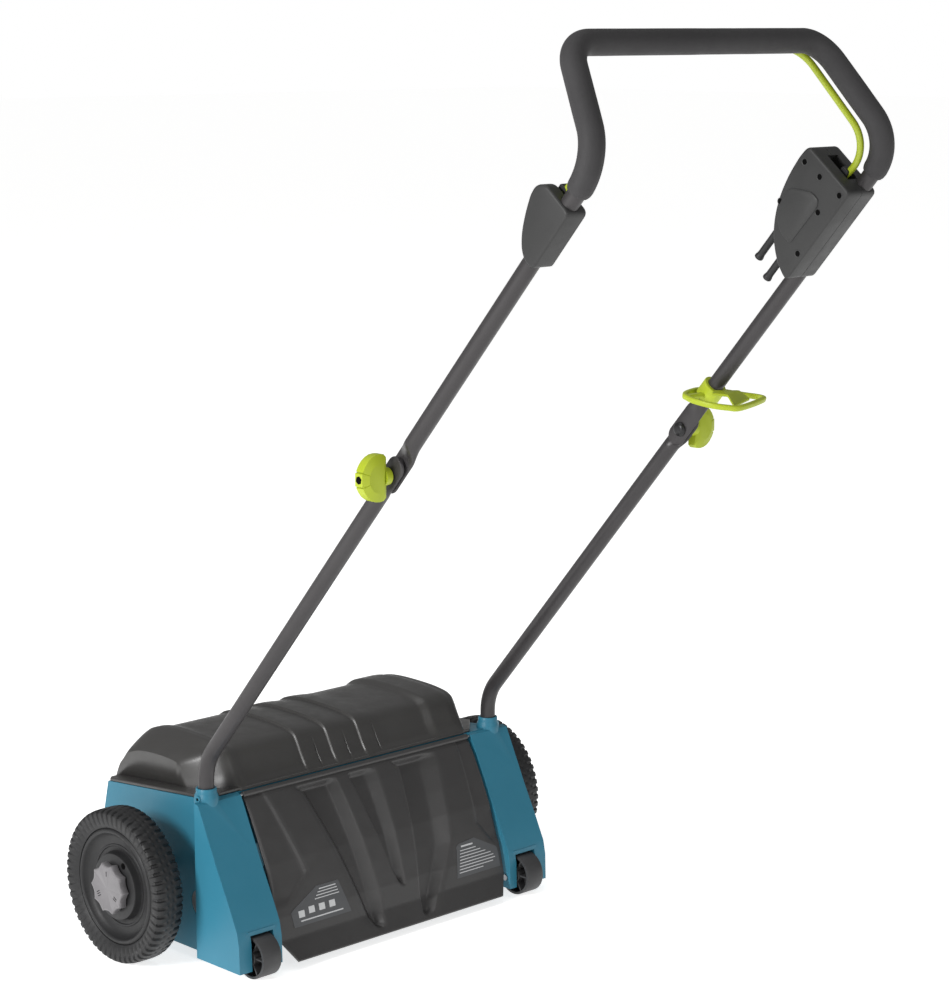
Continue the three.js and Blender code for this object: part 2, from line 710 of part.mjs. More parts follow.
function cableHook() {
  const [y0] = onHandle(489);
  const z0 = onHandle(489)[1];
  const outline = [
    [242, -524], [216, -506], [196, -478], [186, -448], [194, -424], [214, -412], [242, -411],
    [266, -420], [282, -440], [284, -462], [272, -492],
  ];
  const loop = (k, grow) => outline.map(([x, y]) => {
    const cx = 236;
    const cy = -462;
    const d = Math.hypot(x - cx, y - cy);
    return new THREE.Vector2(cx + ((x - cx) * (d - grow)) / d, cy + ((y - cy) * (d - grow)) / d);
  });
  const shape = new THREE.Shape(loop(1, 0));
  shape.holes.push(new THREE.Path(loop(1, 7).reverse()));
  const g = new THREE.ExtrudeGeometry(shape, { depth: 7, bevelEnabled: false });
  g.translate(0, 0, z0 - 3.5);
  let hook = toSolid(g);
  // clip round the tube and the tongue that bridges the loop
  const clip = handleProfile([[483, -16], [483, 16], [505, 16], [505, -16]].reverse(), 215.5, 244.5);
  hook = hook.add(clip);
  hook = hook.add(block(240, 279, y0 - 5, y0 + 5, z0 - 3.5, z0 + 3.5));
  hook = hook.add(block(190, 218, y0 - 5, y0 + 5, z0 - 3.5, z0 + 3.5));
  hook = hook.add(block(231, 240, y0 - 1, -414, z0 - 3.5, z0 + 3.5));
  const a = onHandle(440);
  const b = onHandle(560);
  const core = tubeAlong([
    new THREE.Vector3(TUBE_HALF, ...a), new THREE.Vector3(TUBE_HALF, ...b),
  ], TUBE_R + GAP, 0);
  return hook.subtract(core);
}

const BOX_LINE = [
  [687, -12], [693, 8], [700, 20], [712, 35], [730, 48], [752, 58], [778, 64], [804, 66], [820, 66],
  [820, -12],
];

function switchShell(part) {
  const xs = part === 'inner' ? [194, 217.8] : [218.2, 242];
  let shell = handleProfile([...BOX_LINE].reverse(), ...xs);
  const small = BOX_LINE.map(([t, n]) => [755 + (t - 755) * 0.95, 27 + (n - 27) * 0.92]);
  const cav = part === 'inner' ? [198, 217.9] : [218.1, 238];
  const cavity = handleProfile([...small].reverse(), ...cav);
  const core = tubeAlong([
    new THREE.Vector3(TUBE_HALF, ...onHandle(640)), new THREE.Vector3(TUBE_HALF, ...onHandle(860)),
  ], TUBE_R + 3.6, 0);
  shell = shell.subtract(cavity.subtract(core));
  const tube = tubeAlong([
    new THREE.Vector3(TUBE_HALF, ...onHandle(640)), new THREE.Vector3(TUBE_HALF, ...onHandle(860)),
  ], TUBE_R + GAP, 0);
  shell = shell.subtract(tube);
  // mouth for the bail's lever
  shell = shell.subtract(handleProfile([[800, 12], [800, 44], [830, 44], [830, 12]].reverse(), 211, 227));
  for (const n of [46, 22]) {
    const hole = tubeAlong([
      new THREE.Vector3(218, ...onHandle(640, n)), new THREE.Vector3(218, ...onHandle(745, n)),
    ], 4.9, 0, 8);
    shell = shell.subtract(hole);
  }
  if (part === 'inner') {
    shell = shell.add(handleProfile([[722, 18], [722, 50], [778, 54], [778, 18]].reverse(), 192.4, 196));
  } else {
    shell = shell.subtract(rodX(236, 246, ...onHandle(770, 40), 8.4, 16));
  }
  return shell;
}

function strainRelief(n, tip) {
  const body = tubeAlong([
    new THREE.Vector3(218, ...onHandle(tip, n)), new THREE.Vector3(218, ...onHandle(744, n)),
  ], 4.5, 2.6, 8);
  const flare = tubeAlong([
    new THREE.Vector3(218, ...onHandle(tip, n)), new THREE.Vector3(218, ...onHandle(tip + 5, n)),
  ], 5.6, 2.6, 8);
  return body.add(flare);
}

function lockButton() {
  const [y, z] = onHandle(770, 40);
  return join(rodX(234, 243.5, y, z, 8, 16), rodX(231, 234, y, z, 10, 16));
}

function leftHousing() {
  let shell = handleProfile([
    [745, -13], [745, 13], [752, 20], [775, 30], [800, 31], [821, 31], [821, -13],
  ].reverse(), -242, -215);
  const tube = tubeAlong([
    new THREE.Vector3(-TUBE_HALF, ...onHandle(720)), new THREE.Vector3(-TUBE_HALF, ...onHandle(850)),
  ], TUBE_R + GAP, 0);
  shell = shell.subtract(tube);
  const slot = handleProfile([[774, 12.5], [774, 45], [830, 45], [830, 12.5]].reverse(), -227, -210);
  const pin = rodX(-238.5, -226, ...onHandle(790, 21), 2.8, 12);
  return shell.subtract(slot).subtract(pin);
}

// operator-presence bail: one bent rod with a flat lever at each end
function bailLever() {
  const dy = 22 * 0.93;
  const dz = -22 * 0.367;
  const pivot = onHandle(790, 21);
  const start = onHandle(812, 21);
  const x = 221;
  const rod = tubeAlong(bend([
    [-x, ...start],
    [-x, ELBOW_Y + dy + 1, ELBOW_Z + dz + 3, 40, 5],
    [-BAR_HALF + 6, BAR_Y + dy, BAR_Z + dz, 32, 6],
    [BAR_HALF - 6, BAR_Y + dy, BAR_Z + dz, 32, 6],
    [x, ELBOW_Y + dy + 1, ELBOW_Z + dz + 3, 40, 5],
    [x, ...start],
  ]), 4, 0, 8);
  let bail = rod;
  for (const side of [-1, 1]) {
    const xs = side > 0 ? [213, 225] : [-225, -213];
    bail = bail.add(rodX(...xs, ...pivot, 6.5, 16));
    bail = bail.add(handleProfile([[787, 16.5], [787, 25.5], [818, 25.5], [818, 16.5]].reverse(), ...xs));
    bail = bail.subtract(rodX(side * 219 - 12, side * 219 + 12, ...pivot, 2.65, 12));
  }
  return bail;
}

function bailPin(side) {
  const pivot = onHandle(790, 21);
  const xs = side > 0 ? [198.3, 237.7] : [-238.2, -211.5];
  return rodX(...xs, ...pivot, 2.5, 12);
}

function socketScrew(side) {
  const xs = side > 0 ? [239.8, 246.5] : [-246.5, -239.8];
  return join(
    rodX(...(side > 0 ? [225, 243] : [-243, -225]), -78.5, 205, 2, 12),
    rodX(...(side > 0 ? [244.3, 246.5] : [-246.5, -244.3]), -78.5, 205, 4, 12),
    rodX(...xs, -78.5, 205, 2, 12));
}

// ---------- assembly ----------
add('deck_housing', deckHousing(), BLUE, 0.45);
add('motor_hood', motorHood(), CHARCOAL, 0.6);
add('motor_body', motorBody(), 0x6d6f72, 0.5, 0.6);
add('motor_shaft', motorShaft(), STEEL, 0.3, 0.9);
add('cooling_fan', coolingFan(), BLACK, 0.6);
add('drive_pulley', pulley(MOTOR_Y, MOTOR_Z, MOTOR_PULLEY_R, 5.3, 196.3, 209.5), STEEL, 0.4, 0.8);
add('driven_pulley', pulley(ROTOR_Y, ROTOR_Z, ROTOR_PULLEY_R, 9.3, 196.3, 209.5), BLACK, 0.6);
add('drive_belt', driveBelt(), BLACK, 0.85);
add('tine_rotor', rotorCarrier(), STEEL, 0.45, 0.8);
add('flap_hinge_rod', rodX(-190.6, 190.6, FLAP_AXIS_Y, FLAP_AXIS_Z, 1.5, 12), STEEL, 0.3, 0.9);
add('rear_flap', rearFlap(), CHARCOAL, 0.65);
add('cranked_axle', crankedAxle(), STEEL, 0.4, 0.8);
add('depth_knob', depthKnob(), 0x8f8c8d, 0.55);
add('hub_cap_right', hubCap(), 0x8f8c8d, 0.55);
for (let k = 0; k < TINE_PAIRS; k += 1) {
  const x = (k - (TINE_PAIRS - 1) / 2) * 31;
  add(`spring_tine_${k + 1}`, springTine(x, k % 2 ? 180 : 0), STEEL, 0.35, 0.9);
}
for (const [label, side] of [['left', -1], ['right', 1]]) {
  add(`rotor_bearing_${label}`, rotorBearing(side), STEEL, 0.3, 0.9);
  add(`tyre_${label}`, tyre(side), BLACK, 0.8);
  add(`wheel_disc_${label}`, wheelDisc(side), BLACK, 0.65);
  add(`rear_roller_${label}`, rearRoller(side), BLACK, 0.6);
  add(`roller_pin_${label}`, rollerPin(side), STEEL, 0.3, 0.9);
  add(`handle_tube_lower_${label}`, lowerTube(side), TUBE, 0.45, 0.5);
  add(`socket_screw_${label}`, socketScrew(side), STEEL, 0.35, 0.9);
  add(`fold_bolt_${label}`, foldBolt(side), STEEL, 0.3, 0.9);
  add(`wing_knob_${label}`, wingKnob(side), LIME, 0.5);
  add(`bail_pin_${label}`, bailPin(side), STEEL, 0.3, 0.9);
}
add('handle_tube_upper', upperTube(), TUBE, 0.45, 0.5);
add('grip_foam', gripFoam(), 0x3c3c3c, 0.95);
add('switch_box_inner', switchShell('inner'), CHARCOAL, 0.55);
add('switch_box_outer', switchShell('outer'), CHARCOAL, 0.55);
add('strain_relief_upper', strainRelief(46, 665), BLACK, 0.8);
add('strain_relief_lower', strainRelief(22, 656), BLACK, 0.8);
add('lock_button', lockButton(), LIME, 0.5);
add('bail_housing_left', leftHousing(), CHARCOAL, 0.55);
add('bail_lever', bailLever(), LIME, 0.45);
add('cable_hook', cableHook(), LIME, 0.5);

export default machine;
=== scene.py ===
import json
import math
import bpy
import bmesh
from mathutils import Vector, Matrix, noise


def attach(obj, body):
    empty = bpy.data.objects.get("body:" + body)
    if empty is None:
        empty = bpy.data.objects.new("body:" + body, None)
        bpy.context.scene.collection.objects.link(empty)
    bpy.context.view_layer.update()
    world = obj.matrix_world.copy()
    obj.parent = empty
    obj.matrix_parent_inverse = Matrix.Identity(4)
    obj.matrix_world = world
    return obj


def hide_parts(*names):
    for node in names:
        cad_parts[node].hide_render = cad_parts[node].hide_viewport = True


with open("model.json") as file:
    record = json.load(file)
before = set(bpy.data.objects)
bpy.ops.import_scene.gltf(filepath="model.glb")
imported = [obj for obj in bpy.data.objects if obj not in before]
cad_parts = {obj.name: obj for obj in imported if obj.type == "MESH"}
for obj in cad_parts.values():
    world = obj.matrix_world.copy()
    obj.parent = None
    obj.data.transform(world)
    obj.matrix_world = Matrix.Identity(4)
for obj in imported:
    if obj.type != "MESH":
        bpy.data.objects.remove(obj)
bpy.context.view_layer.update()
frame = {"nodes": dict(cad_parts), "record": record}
NODES = frame["nodes"]

# ---------- layout: design millimetres, with Y zero at the wheel axle's line ----------
MM = 0.001
SHIFT = 0.2875        # metres from the design's Y zero to the row frame's
AXLE_Z = 92.713       # height of the wheel axle
TYRE_IN, TYRE_OUT = 275.0, 313.0   # inner and outer side of a tyre, in |x|
TUBE_X = 230          # |x| of both handle tubes
TUBE_R = 9.5
GRIP_R = 13.4         # of the foam
BAIL_R = 3.95         # of the bail's rod
SOCKET_Y = -78.5      # the tubes stand in the deck's sockets at this y
JOINT_T = 430         # distance up the handle of the fold joint
HOOK_T = 489          # and of the cord hook's ring
LIP = 0.0914          # slope of the deck's rim towards the front
SIDES = (("left", -1), ("right", 1))


def at(x, y, z):
    """A point from the design's millimetres to the row frame."""
    return Vector((x * MM, y * MM + SHIFT, z * MM))


def on_handle(t, n=0.0):
    """(y, z) in design millimetres at distance t up the handle and n forward of it."""
    return -126 - 0.652 * t + 0.758 * n, 300 + 0.758 * t + 0.652 * n


# ---------- camera ----------
cam_data = bpy.data.cameras.new("camera")
cam = bpy.data.objects.new("camera", cam_data)
bpy.context.scene.collection.objects.link(cam)
bpy.context.scene.camera = cam
cam_data.sensor_width = 36
cam_data.lens = 94.28
cam_data.clip_end = 50
cam.location = (-2.0566, -2.4162 + SHIFT, 1.0953)
cam.rotation_mode = "QUATERNION"
cam.rotation_quaternion = Vector((0.6842, 0.7068, -0.1798)).to_track_quat("-Z", "Y")


# ---------- materials ----------
def linear(hexa):
    out = []
    for k in (0, 2, 4):
        c = int(hexa[k:k + 2], 16) / 255
        out.append(c / 12.92 if c <= 0.04045 else ((c + 0.055) / 1.055) ** 2.4)
    return (*out, 1)


def material(name, hexa, rough=0.5, metal=0.0, grain=900.0, bump=0.1, tone=0.12, wear=0.25,
             rough_spread=0.06, specular=0.32, coat=0.0):
    """Moulded or coated surface: fine grain, broad tone changes, brighter worn edges."""
    m = bpy.data.materials.new(name)
    m.use_nodes = True
    nt = m.node_tree
    nodes, links = nt.nodes, nt.links
    bsdf = nodes["Principled BSDF"]
    bsdf.inputs["Metallic"].default_value = metal
    bsdf.inputs["Specular IOR Level"].default_value = specular
    bsdf.inputs["Coat Weight"].default_value = coat
    coords = nodes.new("ShaderNodeTexCoord")
    source = coords.outputs["Object"]

    def noise_tex(scale, detail, roughness=0.6):
        tex = nodes.new("ShaderNodeTexNoise")
        tex.inputs["Scale"].default_value = scale
        tex.inputs["Detail"].default_value = detail
        tex.inputs["Roughness"].default_value = roughness
        links.new(source, tex.inputs["Vector"])
        return tex.outputs["Fac"]

    def ramp(value, lo, hi, out_lo, out_hi):
        node = nodes.new("ShaderNodeMapRange")
        node.inputs["From Min"].default_value = lo
        node.inputs["From Max"].default_value = hi
        node.inputs["To Min"].default_value = out_lo
        node.inputs["To Max"].default_value = out_hi
        links.new(value, node.inputs["Value"])
        return node.outputs["Result"]

    base = linear(hexa)
    broad = noise_tex(9.0, 4)
    fine = noise_tex(grain, 3)
    mix = nodes.new("ShaderNodeMix")
    mix.data_type = "RGBA"
    mix.inputs["A"].default_value = (*[c * (1 - tone) for c in base[:3]], 1)
    mix.inputs["B"].default_value = (*[min(1, c * (1 + tone) + 0.002) for c in base[:3]], 1)
    links.new(ramp(broad, 0.35, 0.65, 0, 1), mix.inputs["Factor"])
    colour = mix.outputs["Result"]
    if wear:
        geo = nodes.new("ShaderNodeNewGeometry")
        edge = nodes.new("ShaderNodeMix")
        edge.data_type = "RGBA"
        light = tuple(min(1, c * 1.7 + 0.02) for c in base[:3])
        edge.inputs["B"].default_value = (*light, 1)
        links.new(ramp(geo.outputs["Pointiness"], 0.52, 0.60, 0, wear), edge.inputs["Factor"])
        links.new(colour, edge.inputs["A"])
        colour = edge.outputs["Result"]
    links.new(colour, bsdf.inputs["Base Color"])
    links.new(ramp(noise_tex(60.0, 5), 0.3, 0.7, rough - rough_spread, rough + rough_spread),
              bsdf.inputs["Roughness"])
    node = nodes.new("ShaderNodeBump")
    node.inputs["Strength"].default_value = bump
    node.inputs["Distance"].default_value = 0.0006
    links.new(fine, node.inputs["Height"])
    links.new(node.outputs["Normal"], bsdf.inputs["Normal"])
    return m


BLUE = material("deck_blue", "2a6c82", 0.4, grain=1400, bump=0.06, tone=0.03, wear=0.2)
CHARCOAL = material("hood_charcoal", "333231", 0.36, grain=1500, bump=0.12, tone=0.04, wear=0.2,
                    specular=0.55)
FLAP = material("flap_charcoal", "333232", 0.4, grain=1500, bump=0.12, tone=0.04, wear=0.2,
                specular=0.5)
BOX_LOOK = material("box_charcoal", "2b2b2b", 0.46, grain=1600, bump=0.14, tone=0.05, wear=0.2)
BLACK = material("black_plastic", "1f1f20", 0.5, grain=1500, bump=0.12, tone=0.1, wear=0.15)
ROLLER = material("roller_plastic", "343435", 0.5, grain=1500, bump=0.12, tone=0.1)
GREY = material("grey_plastic", "6e6c6e", 0.45, grain=1500, bump=0.1, tone=0.04, wear=0.2)
LIME = material("lime_plastic", "9dab24", 0.42, grain=1600, bump=0.05, tone=0.04, wear=0.1)
LIME_ROD = material("lime_paint", "9aa824", 0.38, grain=700, bump=0.02, tone=0.05, coat=0.3)
TUBE = material("tube_grey", "373536", 0.36, metal=0.2, grain=1100, bump=0.1, tone=0.05)
FOAM = material("foam", "353435", 0.62, grain=2200, bump=0.45, tone=0.06, wear=0, specular=0.25)
TYRE = material("tyre", "1f1f20", 0.5, grain=1300, bump=0.2, tone=0.15, wear=0.2)
RUBBER = material("belt_rubber", "171717", 0.75, grain=1500, bump=0.25, tone=0.15, wear=0)
ALLOY = material("motor_alloy", "8b8e90", 0.45, metal=0.8, grain=600, bump=0.3, tone=0.12)
ROTOR = material("rotor_steel", "85878a", 0.42, metal=0.85, grain=500, bump=0.2, tone=0.2)
SPRING = material("spring_steel", "9a9a96", 0.33, metal=0.95, grain=700, bump=0.12, tone=0.15)
BOLT = material("bolt_black", "29292a", 0.35, metal=0.6, grain=900, bump=0.1, tone=0.1)
STEEL = material("steel", "9fa1a3", 0.33, metal=0.95, grain=900, bump=0.1, tone=0.12)
PLATE = material("plate_grey", "4c4d4f", 0.45, grain=900, bump=0.04, tone=0.03, wear=0)
INK = material("plate_mark", "b9babb", 0.5, grain=900, bump=0.03, tone=0.05, wear=0)
# near-black used as painted shade inside holes, bores and vents, and also for the height knob's
# marks
HOLE_SHADE_AND_MARK = material("hole_shade_and_mark_dark", "060606", 0.9, grain=900, bump=0.05, tone=0.1, wear=0,
                specular=0.05)

SLOT_LOOKS = {
    "deck_blue": BLUE, "hood_charcoal": CHARCOAL, "flap_charcoal": FLAP, "box_charcoal": BOX_LOOK,
    "black_plastic": BLACK, "roller_plastic": ROLLER, "grey_plastic": GREY,
    "lime_plastic": LIME, "lime_paint": LIME_ROD, "tube_grey": TUBE, "foam": FOAM,
    "tyre": TYRE, "belt_rubber": RUBBER, "motor_alloy": ALLOY, "rotor_steel": ROTOR,
    "spring_steel": SPRING, "steel": STEEL,
}
SLOT_OF = {s["node"]: s["material_slot"] for s in frame["record"]["subparts"]}
for node_name, node_object in NODES.items():
    node_object.data.materials.clear()
    node_object.data.materials.append(SLOT_LOOKS[SLOT_OF[node_name]])


# ---------- mesh helpers ----------
def piece(name, verts, faces, look, body, replaces=(), slot=None, smooth=True, bevel=0.0,
          segments=2, angle=30, outward=None):
    mesh = bpy.data.meshes.new(name)
    mesh.from_pydata([tuple(v) for v in verts], [], faces)
    mesh.validate()
    obj = bpy.data.objects.new(name, mesh)
    bpy.context.scene.collection.objects.link(obj)
    bm = bmesh.new()
    bm.from_mesh(mesh)
    bmesh.ops.remove_doubles(bm, verts=bm.verts, dist=1e-6)
    bmesh.ops.recalc_face_normals(bm, faces=bm.faces)
    if outward:
        facing = sum((f.normal * f.calc_area() for f in bm.faces), Vector()).dot(outward)
        if facing < 0:
            bmesh.ops.reverse_faces(bm, faces=bm.faces)
    bm.to_mesh(mesh)
    bm.free()
    dress(obj, look, smooth, bevel, segments, angle)
    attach(obj, body)
    if replaces:
        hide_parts(*replaces)
    return obj


def dress(obj, look, smooth=True, bevel=0.0, segments=2, angle=30):
    obj.data.materials.clear()
    obj.data.materials.append(look)
    if bevel:
        mod = obj.modifiers.new("edges", "BEVEL")
        mod.width = bevel
        mod.segments = segments
        mod.limit_method = "ANGLE"
        mod.angle_limit = math.radians(angle)
        mod.harden_normals = True
    if smooth:
        for poly in obj.data.polygons:
            poly.use_smooth = True
        obj.data.set_sharp_from_angle(angle=math.radians(angle))


def refined(node, look, body, width=0.0012, segments=2, angle=25):
    """The node's own shape with its flat faces merged and its edges rounded."""
    mesh = NODES[node].data.copy()
    mesh.name = node + "_fine"
    obj = bpy.data.objects.new(node + "_fine", mesh)
    bpy.context.scene.collection.objects.link(obj)
    bm = bmesh.new()
    bm.from_mesh(mesh)
    bmesh.ops.remove_doubles(bm, verts=bm.verts, dist=2e-6)
    bmesh.ops.dissolve_limit(bm, angle_limit=math.radians(1.0), verts=bm.verts, edges=bm.edges)
    bm.to_mesh(mesh)
    bm.free()
    if mesh.has_custom_normals:
        with bpy.context.temp_override(object=obj, active_object=obj):
            bpy.ops.mesh.customdata_custom_splitnormals_clear()
    dress(obj, look, True, width, segments, angle)
    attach(obj, body)
    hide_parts(node)
    return obj


def grid_faces(rows, cols, close_rows=False, close_cols=True):
    """Quads between rows of cols vertices each."""
    faces = []
    for r in range(rows if close_rows else rows - 1):
        for c in range(cols if close_cols else cols - 1):
            r2, c2 = (r + 1) % rows, (c + 1) % cols
            faces.append((r * cols + c, r * cols + c2, r2 * cols + c2, r2 * cols + c))
    return faces


def lathe_x(outline, y, z, sides=64, wobble=None):
    """Closed ring or disc about an axis along X. outline is (radius, x) in design mm."""
    verts = []
    for k in range(sides):
        a = 2 * math.pi * k / sides
        for r, x in outline:
            if wobble:
                r, x = wobble(a, r, x)
            verts.append(at(x, y + r * math.cos(a), z + r * math.sin(a)))
    return verts, grid_faces(sides, len(outline), close_rows=True, close_cols=True)


def lathe_about(start, axis, outline, sides=48):
    """Closed turned form about any axis. outline is (radius, distance along axis) in mm."""
    axis = axis.normalized()
    side = axis.orthogonal().normalized()
    up = axis.cross(side)
    verts = []
    for k in range(sides):
        a = 2 * math.pi * k / sides
        for r, h in outline:
            spoke = side * math.cos(a) + up * math.sin(a)
            verts.append(start + axis * (h * MM) + spoke * (r * MM))
    return verts, grid_faces(sides, len(outline), close_rows=True, close_cols=True)


def bend(corners):
    """Rounded path: each corner is (x, y, z, radius, sections) in design mm."""
    out = []
    for i, corner in enumerate(corners):
        p = Vector(corner[:3])
        if len(corner) < 4:
            out.append(p)
            continue
        radius, sections = corner[3], corner[4]
        d1 = (Vector(corners[i - 1][:3]) - p).normalized()
        d2 = (Vector(corners[i + 1][:3]) - p).normalized()
        half = d1.angle(d2) / 2
        centre = p + (d1 + d2).normalized() * (radius / math.sin(half))
        u = (p + d1 * (radius / math.tan(half)) - centre).normalized()
        w = -d1
        sweep = math.pi - 2 * half
        for k in range(sections + 1):
            a = sweep * k / sections
            out.append(centre + u * (radius * math.cos(a)) + w * (radius * math.sin(a)))
    return out


def sweep_tube(path, section, sides=32, closed=False, first=Vector((1, 0, 0)), power=2.0):
    """Sweeps a rounded section along a path in design mm. section(i) gives
    (half width along first, half width across, shift along first)."""
    count = len(path)
    tangents = []
    for i in range(count):
        if closed:
            t = path[(i + 1) % count] - path[i - 1]
        else:
            t = path[min(i + 1, count - 1)] - path[max(i - 1, 0)]
        tangents.append(t.normalized())
    normal = (first - tangents[0] * first.dot(tangents[0])).normalized()
    verts = []
    for i in range(count):
        if i:
            turn = tangents[i - 1].rotation_difference(tangents[i])
            normal = turn @ normal
            normal = (normal - tangents[i] * normal.dot(tangents[i])).normalized()
        across = tangents[i].cross(normal)
        a, b, shift = section(i)
        for k in range(sides):
            phi = 2 * math.pi * k / sides
            c, s = math.cos(phi), math.sin(phi)
            c = math.copysign(abs(c) ** (2 / power), c)
            s = math.copysign(abs(s) ** (2 / power), s)
            v = path[i] + normal * (a * c + shift) + across * (b * s)
            verts.append(at(*v))
    faces = grid_faces(count, sides, close_rows=closed, close_cols=True)
    if not closed:
        faces.append(tuple(range(sides)))
        faces.append(tuple((count - 1) * sides + k for k in reversed(range(sides))))
    return verts, faces


def slab(outline, thickness, place):
    """Flat plate: outline of (u, v) pairs in mm, place(u, v, w) gives the point."""
    n = len(outline)
    verts = [place(u, v, w) for w in (0, thickness) for u, v in outline]
    faces = [tuple(range(n)), tuple(reversed(range(n, 2 * n)))]
    faces += [(k, (k + 1) % n, n + (k + 1) % n, n + k) for k in range(n)]
    return verts, faces


def merge(*parts):
    verts, faces = [], []
    for vs, fs in parts:
        base = len(verts)
        verts += list(vs)
        faces += [tuple(i + base for i in f) for f in fs]
    return verts, faces


def smoothstep(lo, hi, value):
    t = min(1.0, max(0.0, (value - lo) / (hi - lo)))
    return t * t * (3 - 2 * t)


def interpolate(table, value):
    if value <= table[0][0]:
        return table[0][1]
    for (a, fa), (b, fb) in zip(table, table[1:]):
        if value <= b:
            return fa + (fb - fa) * (value - a) / (b - a)
    return table[-1][1]


def smooth_line(points, per=6):
    """Catmull-Rom points through a list of tuples."""
    pts = [Vector(p) for p in points]
    out = []
    for i in range(len(pts) - 1):
        p0, p1 = pts[max(i - 1, 0)], pts[i]
        p2, p3 = pts[i + 1], pts[min(i + 2, len(pts) - 1)]
        for k in range(per):
            t = k / per
            out.append(0.5 * ((2 * p1) + (p2 - p0) * t + (2 * p0 - 5 * p1 + 4 * p2 - p3) * t * t
                              + (3 * p1 - p0 - 3 * p2 + p3) * t ** 3))
    out.append(pts[-1])
    return out


# ---------- hood ----------
HOOD_LINE = [
    (-84.5, 202), (-80, 212), (-74, 221), (-68, 232), (-63, 241), (-58, 247), (-50, 251),
    (-38, 253.5), (-20, 255.5), (0, 256.5), (24, 257), (46, 256.5), (66, 254), (84, 248),
    (100, 234), (112, 212), (121, 190), (124, 179),
]
HOOD_END = [
    (-25, 196), (-23, 201), (-20, 208), (-17, 216), (-14.5, 222), (-12, 226), (-7, 228.5),
    (2, 230), (12, 230.8), (24, 231.2), (40, 231), (56, 230), (70, 228), (82, 224.5), (94, 219),
    (106, 205), (114, 190), (118, 179),
]
BANDS = (-77, -29, 20)


def hood_relief(x, z):
    """How far the skin lies below the outer line at x, in mm."""
    depth = 5.0 * smoothstep(-181, -167, x) * (1 - smoothstep(127, 141, x))
    for x0 in BANDS:
        if x0 - 2 < x < x0 + 47:
            depth -= 2.8 * smoothstep(x0 - 1.2, x0 + 1.2, x) * (1 - smoothstep(x0 + 6, x0 + 47, x))
        if abs(x - x0 - 24) < 1.6:
            depth += 1.2 * (1 - smoothstep(225, 246, z))
    return depth


def build_hood():
    base = smooth_line(HOOD_LINE, 4)
    end = smooth_line(HOOD_END, 4)
    stations = [-217.0, -216.2, -214.5, -211, -206, -200, -194, -188, -184, -181.5, -180, -178]
    x = -176.0
    near_band = (-1.2, -0.6, 0, 0.6, 1.2, 22.4, 23.2, 24, 24.8, 25.6)
    marks = [m + d for m in BANDS for d in near_band] + [127, 129.5, 132, 134, 136.5, 139, 141]
    while x < 176:
        stations.append(x)
        x += 6
    stations += marks + [-s for s in stations[:12]]
    stations = sorted(set(round(s, 2) for s in stations))
    rows = []
    for x in stations:
        s = max(0.0, min(1.0, (abs(x) - 181) / 36)) ** 1.5
        round_in = 2.2 * math.exp(-((abs(x) - 181) / 5) ** 2)
        round_out = 1.6 * math.exp(-((abs(x) - 217) / 2.2) ** 2)
        row = []
        for i, (p, q) in enumerate(zip(base, end)):
            v = p.lerp(q, s)
            a, b = base[max(i - 1, 0)], base[min(i + 1, len(base) - 1)]
            n = Vector((-(b - a).y, (b - a).x)).normalized()
            lift = smoothstep(203, 214, v.y)
            v = v - n * lift * (hood_relief(x, v.y) + round_in + round_out)
            row.append(v)
        rows.append((x, row))
    verts, faces = [], []
    cols = len(base)
    for x, row in rows:
        verts += [at(x, v.x, v.y) for v in row]
    faces = grid_faces(len(rows), cols, close_rows=False, close_cols=False)
    # walls from the end outlines straight down, and the under edge
    for r in (0, len(rows) - 1):
        x = rows[r][0]
        start = len(verts)
        ring = [r * cols + c for c in range(cols)]
        verts += [at(x, v.x, max(178.0, 202 - LIP * (v.x + 87))) for v in rows[r][1]]
        low = [start + c for c in range(cols)]
        for c in range(cols - 1):
            faces.append((ring[c], ring[c + 1], low[c + 1], low[c]))
    edge = [(-235, -62), (-235, 104), (-229, 110), (229, 110), (235, 104), (235, -40),
            (193, -83), (-215.5, -83), (-215.5, -62)]

    def on_rim(u, v, w):
        return at(u, v, 202.4 - LIP * (v + 87) + w)

    plate = slab(edge, 4.0, on_rim)
    return (verts, faces), plate


skin, plate = build_hood()
hood = piece("hood_skin", *skin, CHARCOAL, "deck", ("motor_hood",), "hood_charcoal", angle=32,
             outward=Vector((0, 0, 1)))
shell = hood.modifiers.new("thickness", "SOLIDIFY")
shell.thickness = 0.0022
shell.offset = -1
piece("hood_flange", *plate, CHARCOAL, "deck", (), "hood_charcoal", bevel=0.0012, angle=30)

# ---------- deck ----------
refined("deck_housing", BLUE, "deck", 0.0018, 2, 28)
for label, side in SIDES:
    x = side * TUBE_X
    v, f = lathe_about(at(x, SOCKET_Y, 186), Vector((0, 0, 1)), [
        (14.4, 0), (14.6, 12), (14.5, 17), (13.9, 19.5), (12.9, 22), (12.4, 24), (12.3, 28),
        (11.8, 28.7), (10.2, 28.7), (10.0, 28.2), (10.0, 2), (10.4, 0)], 64)
    piece("socket_collar_" + label, v, f, BLUE, "deck", (), "deck_blue", angle=40)
    # boss with a blind screw hole on the outside of the collar
    aim = Vector((side, -0.25, 0))
    v, f = lathe_about(at(x + side * 13.2, -80.5, 203.5), aim, [
        (1.7, 1.2), (2.0, 2.6), (3.4, 2.6), (3.9, 2.0), (4.3, -1.5), (1.7, -1.5)], 28)
    piece("socket_boss_" + label, v, f, BLUE, "deck", (), "deck_blue")
    # near-black plug filling the boss's hole: painted shade of the blind screw hole
    v, f = lathe_about(at(x + side * 13.2, -80.5, 203.5), aim, [
        (0.01, 1.3), (1.8, 1.3), (1.8, -17), (0.01, -17)], 20)
    piece("socket_hole_shade_" + label, v, f, HOLE_SHADE_AND_MARK, "deck", ("socket_screw_" + label,), "steel")


def on_shelf(u, v, w):
    return at(u, v, 199.2 - LIP * (v + 87) + w)


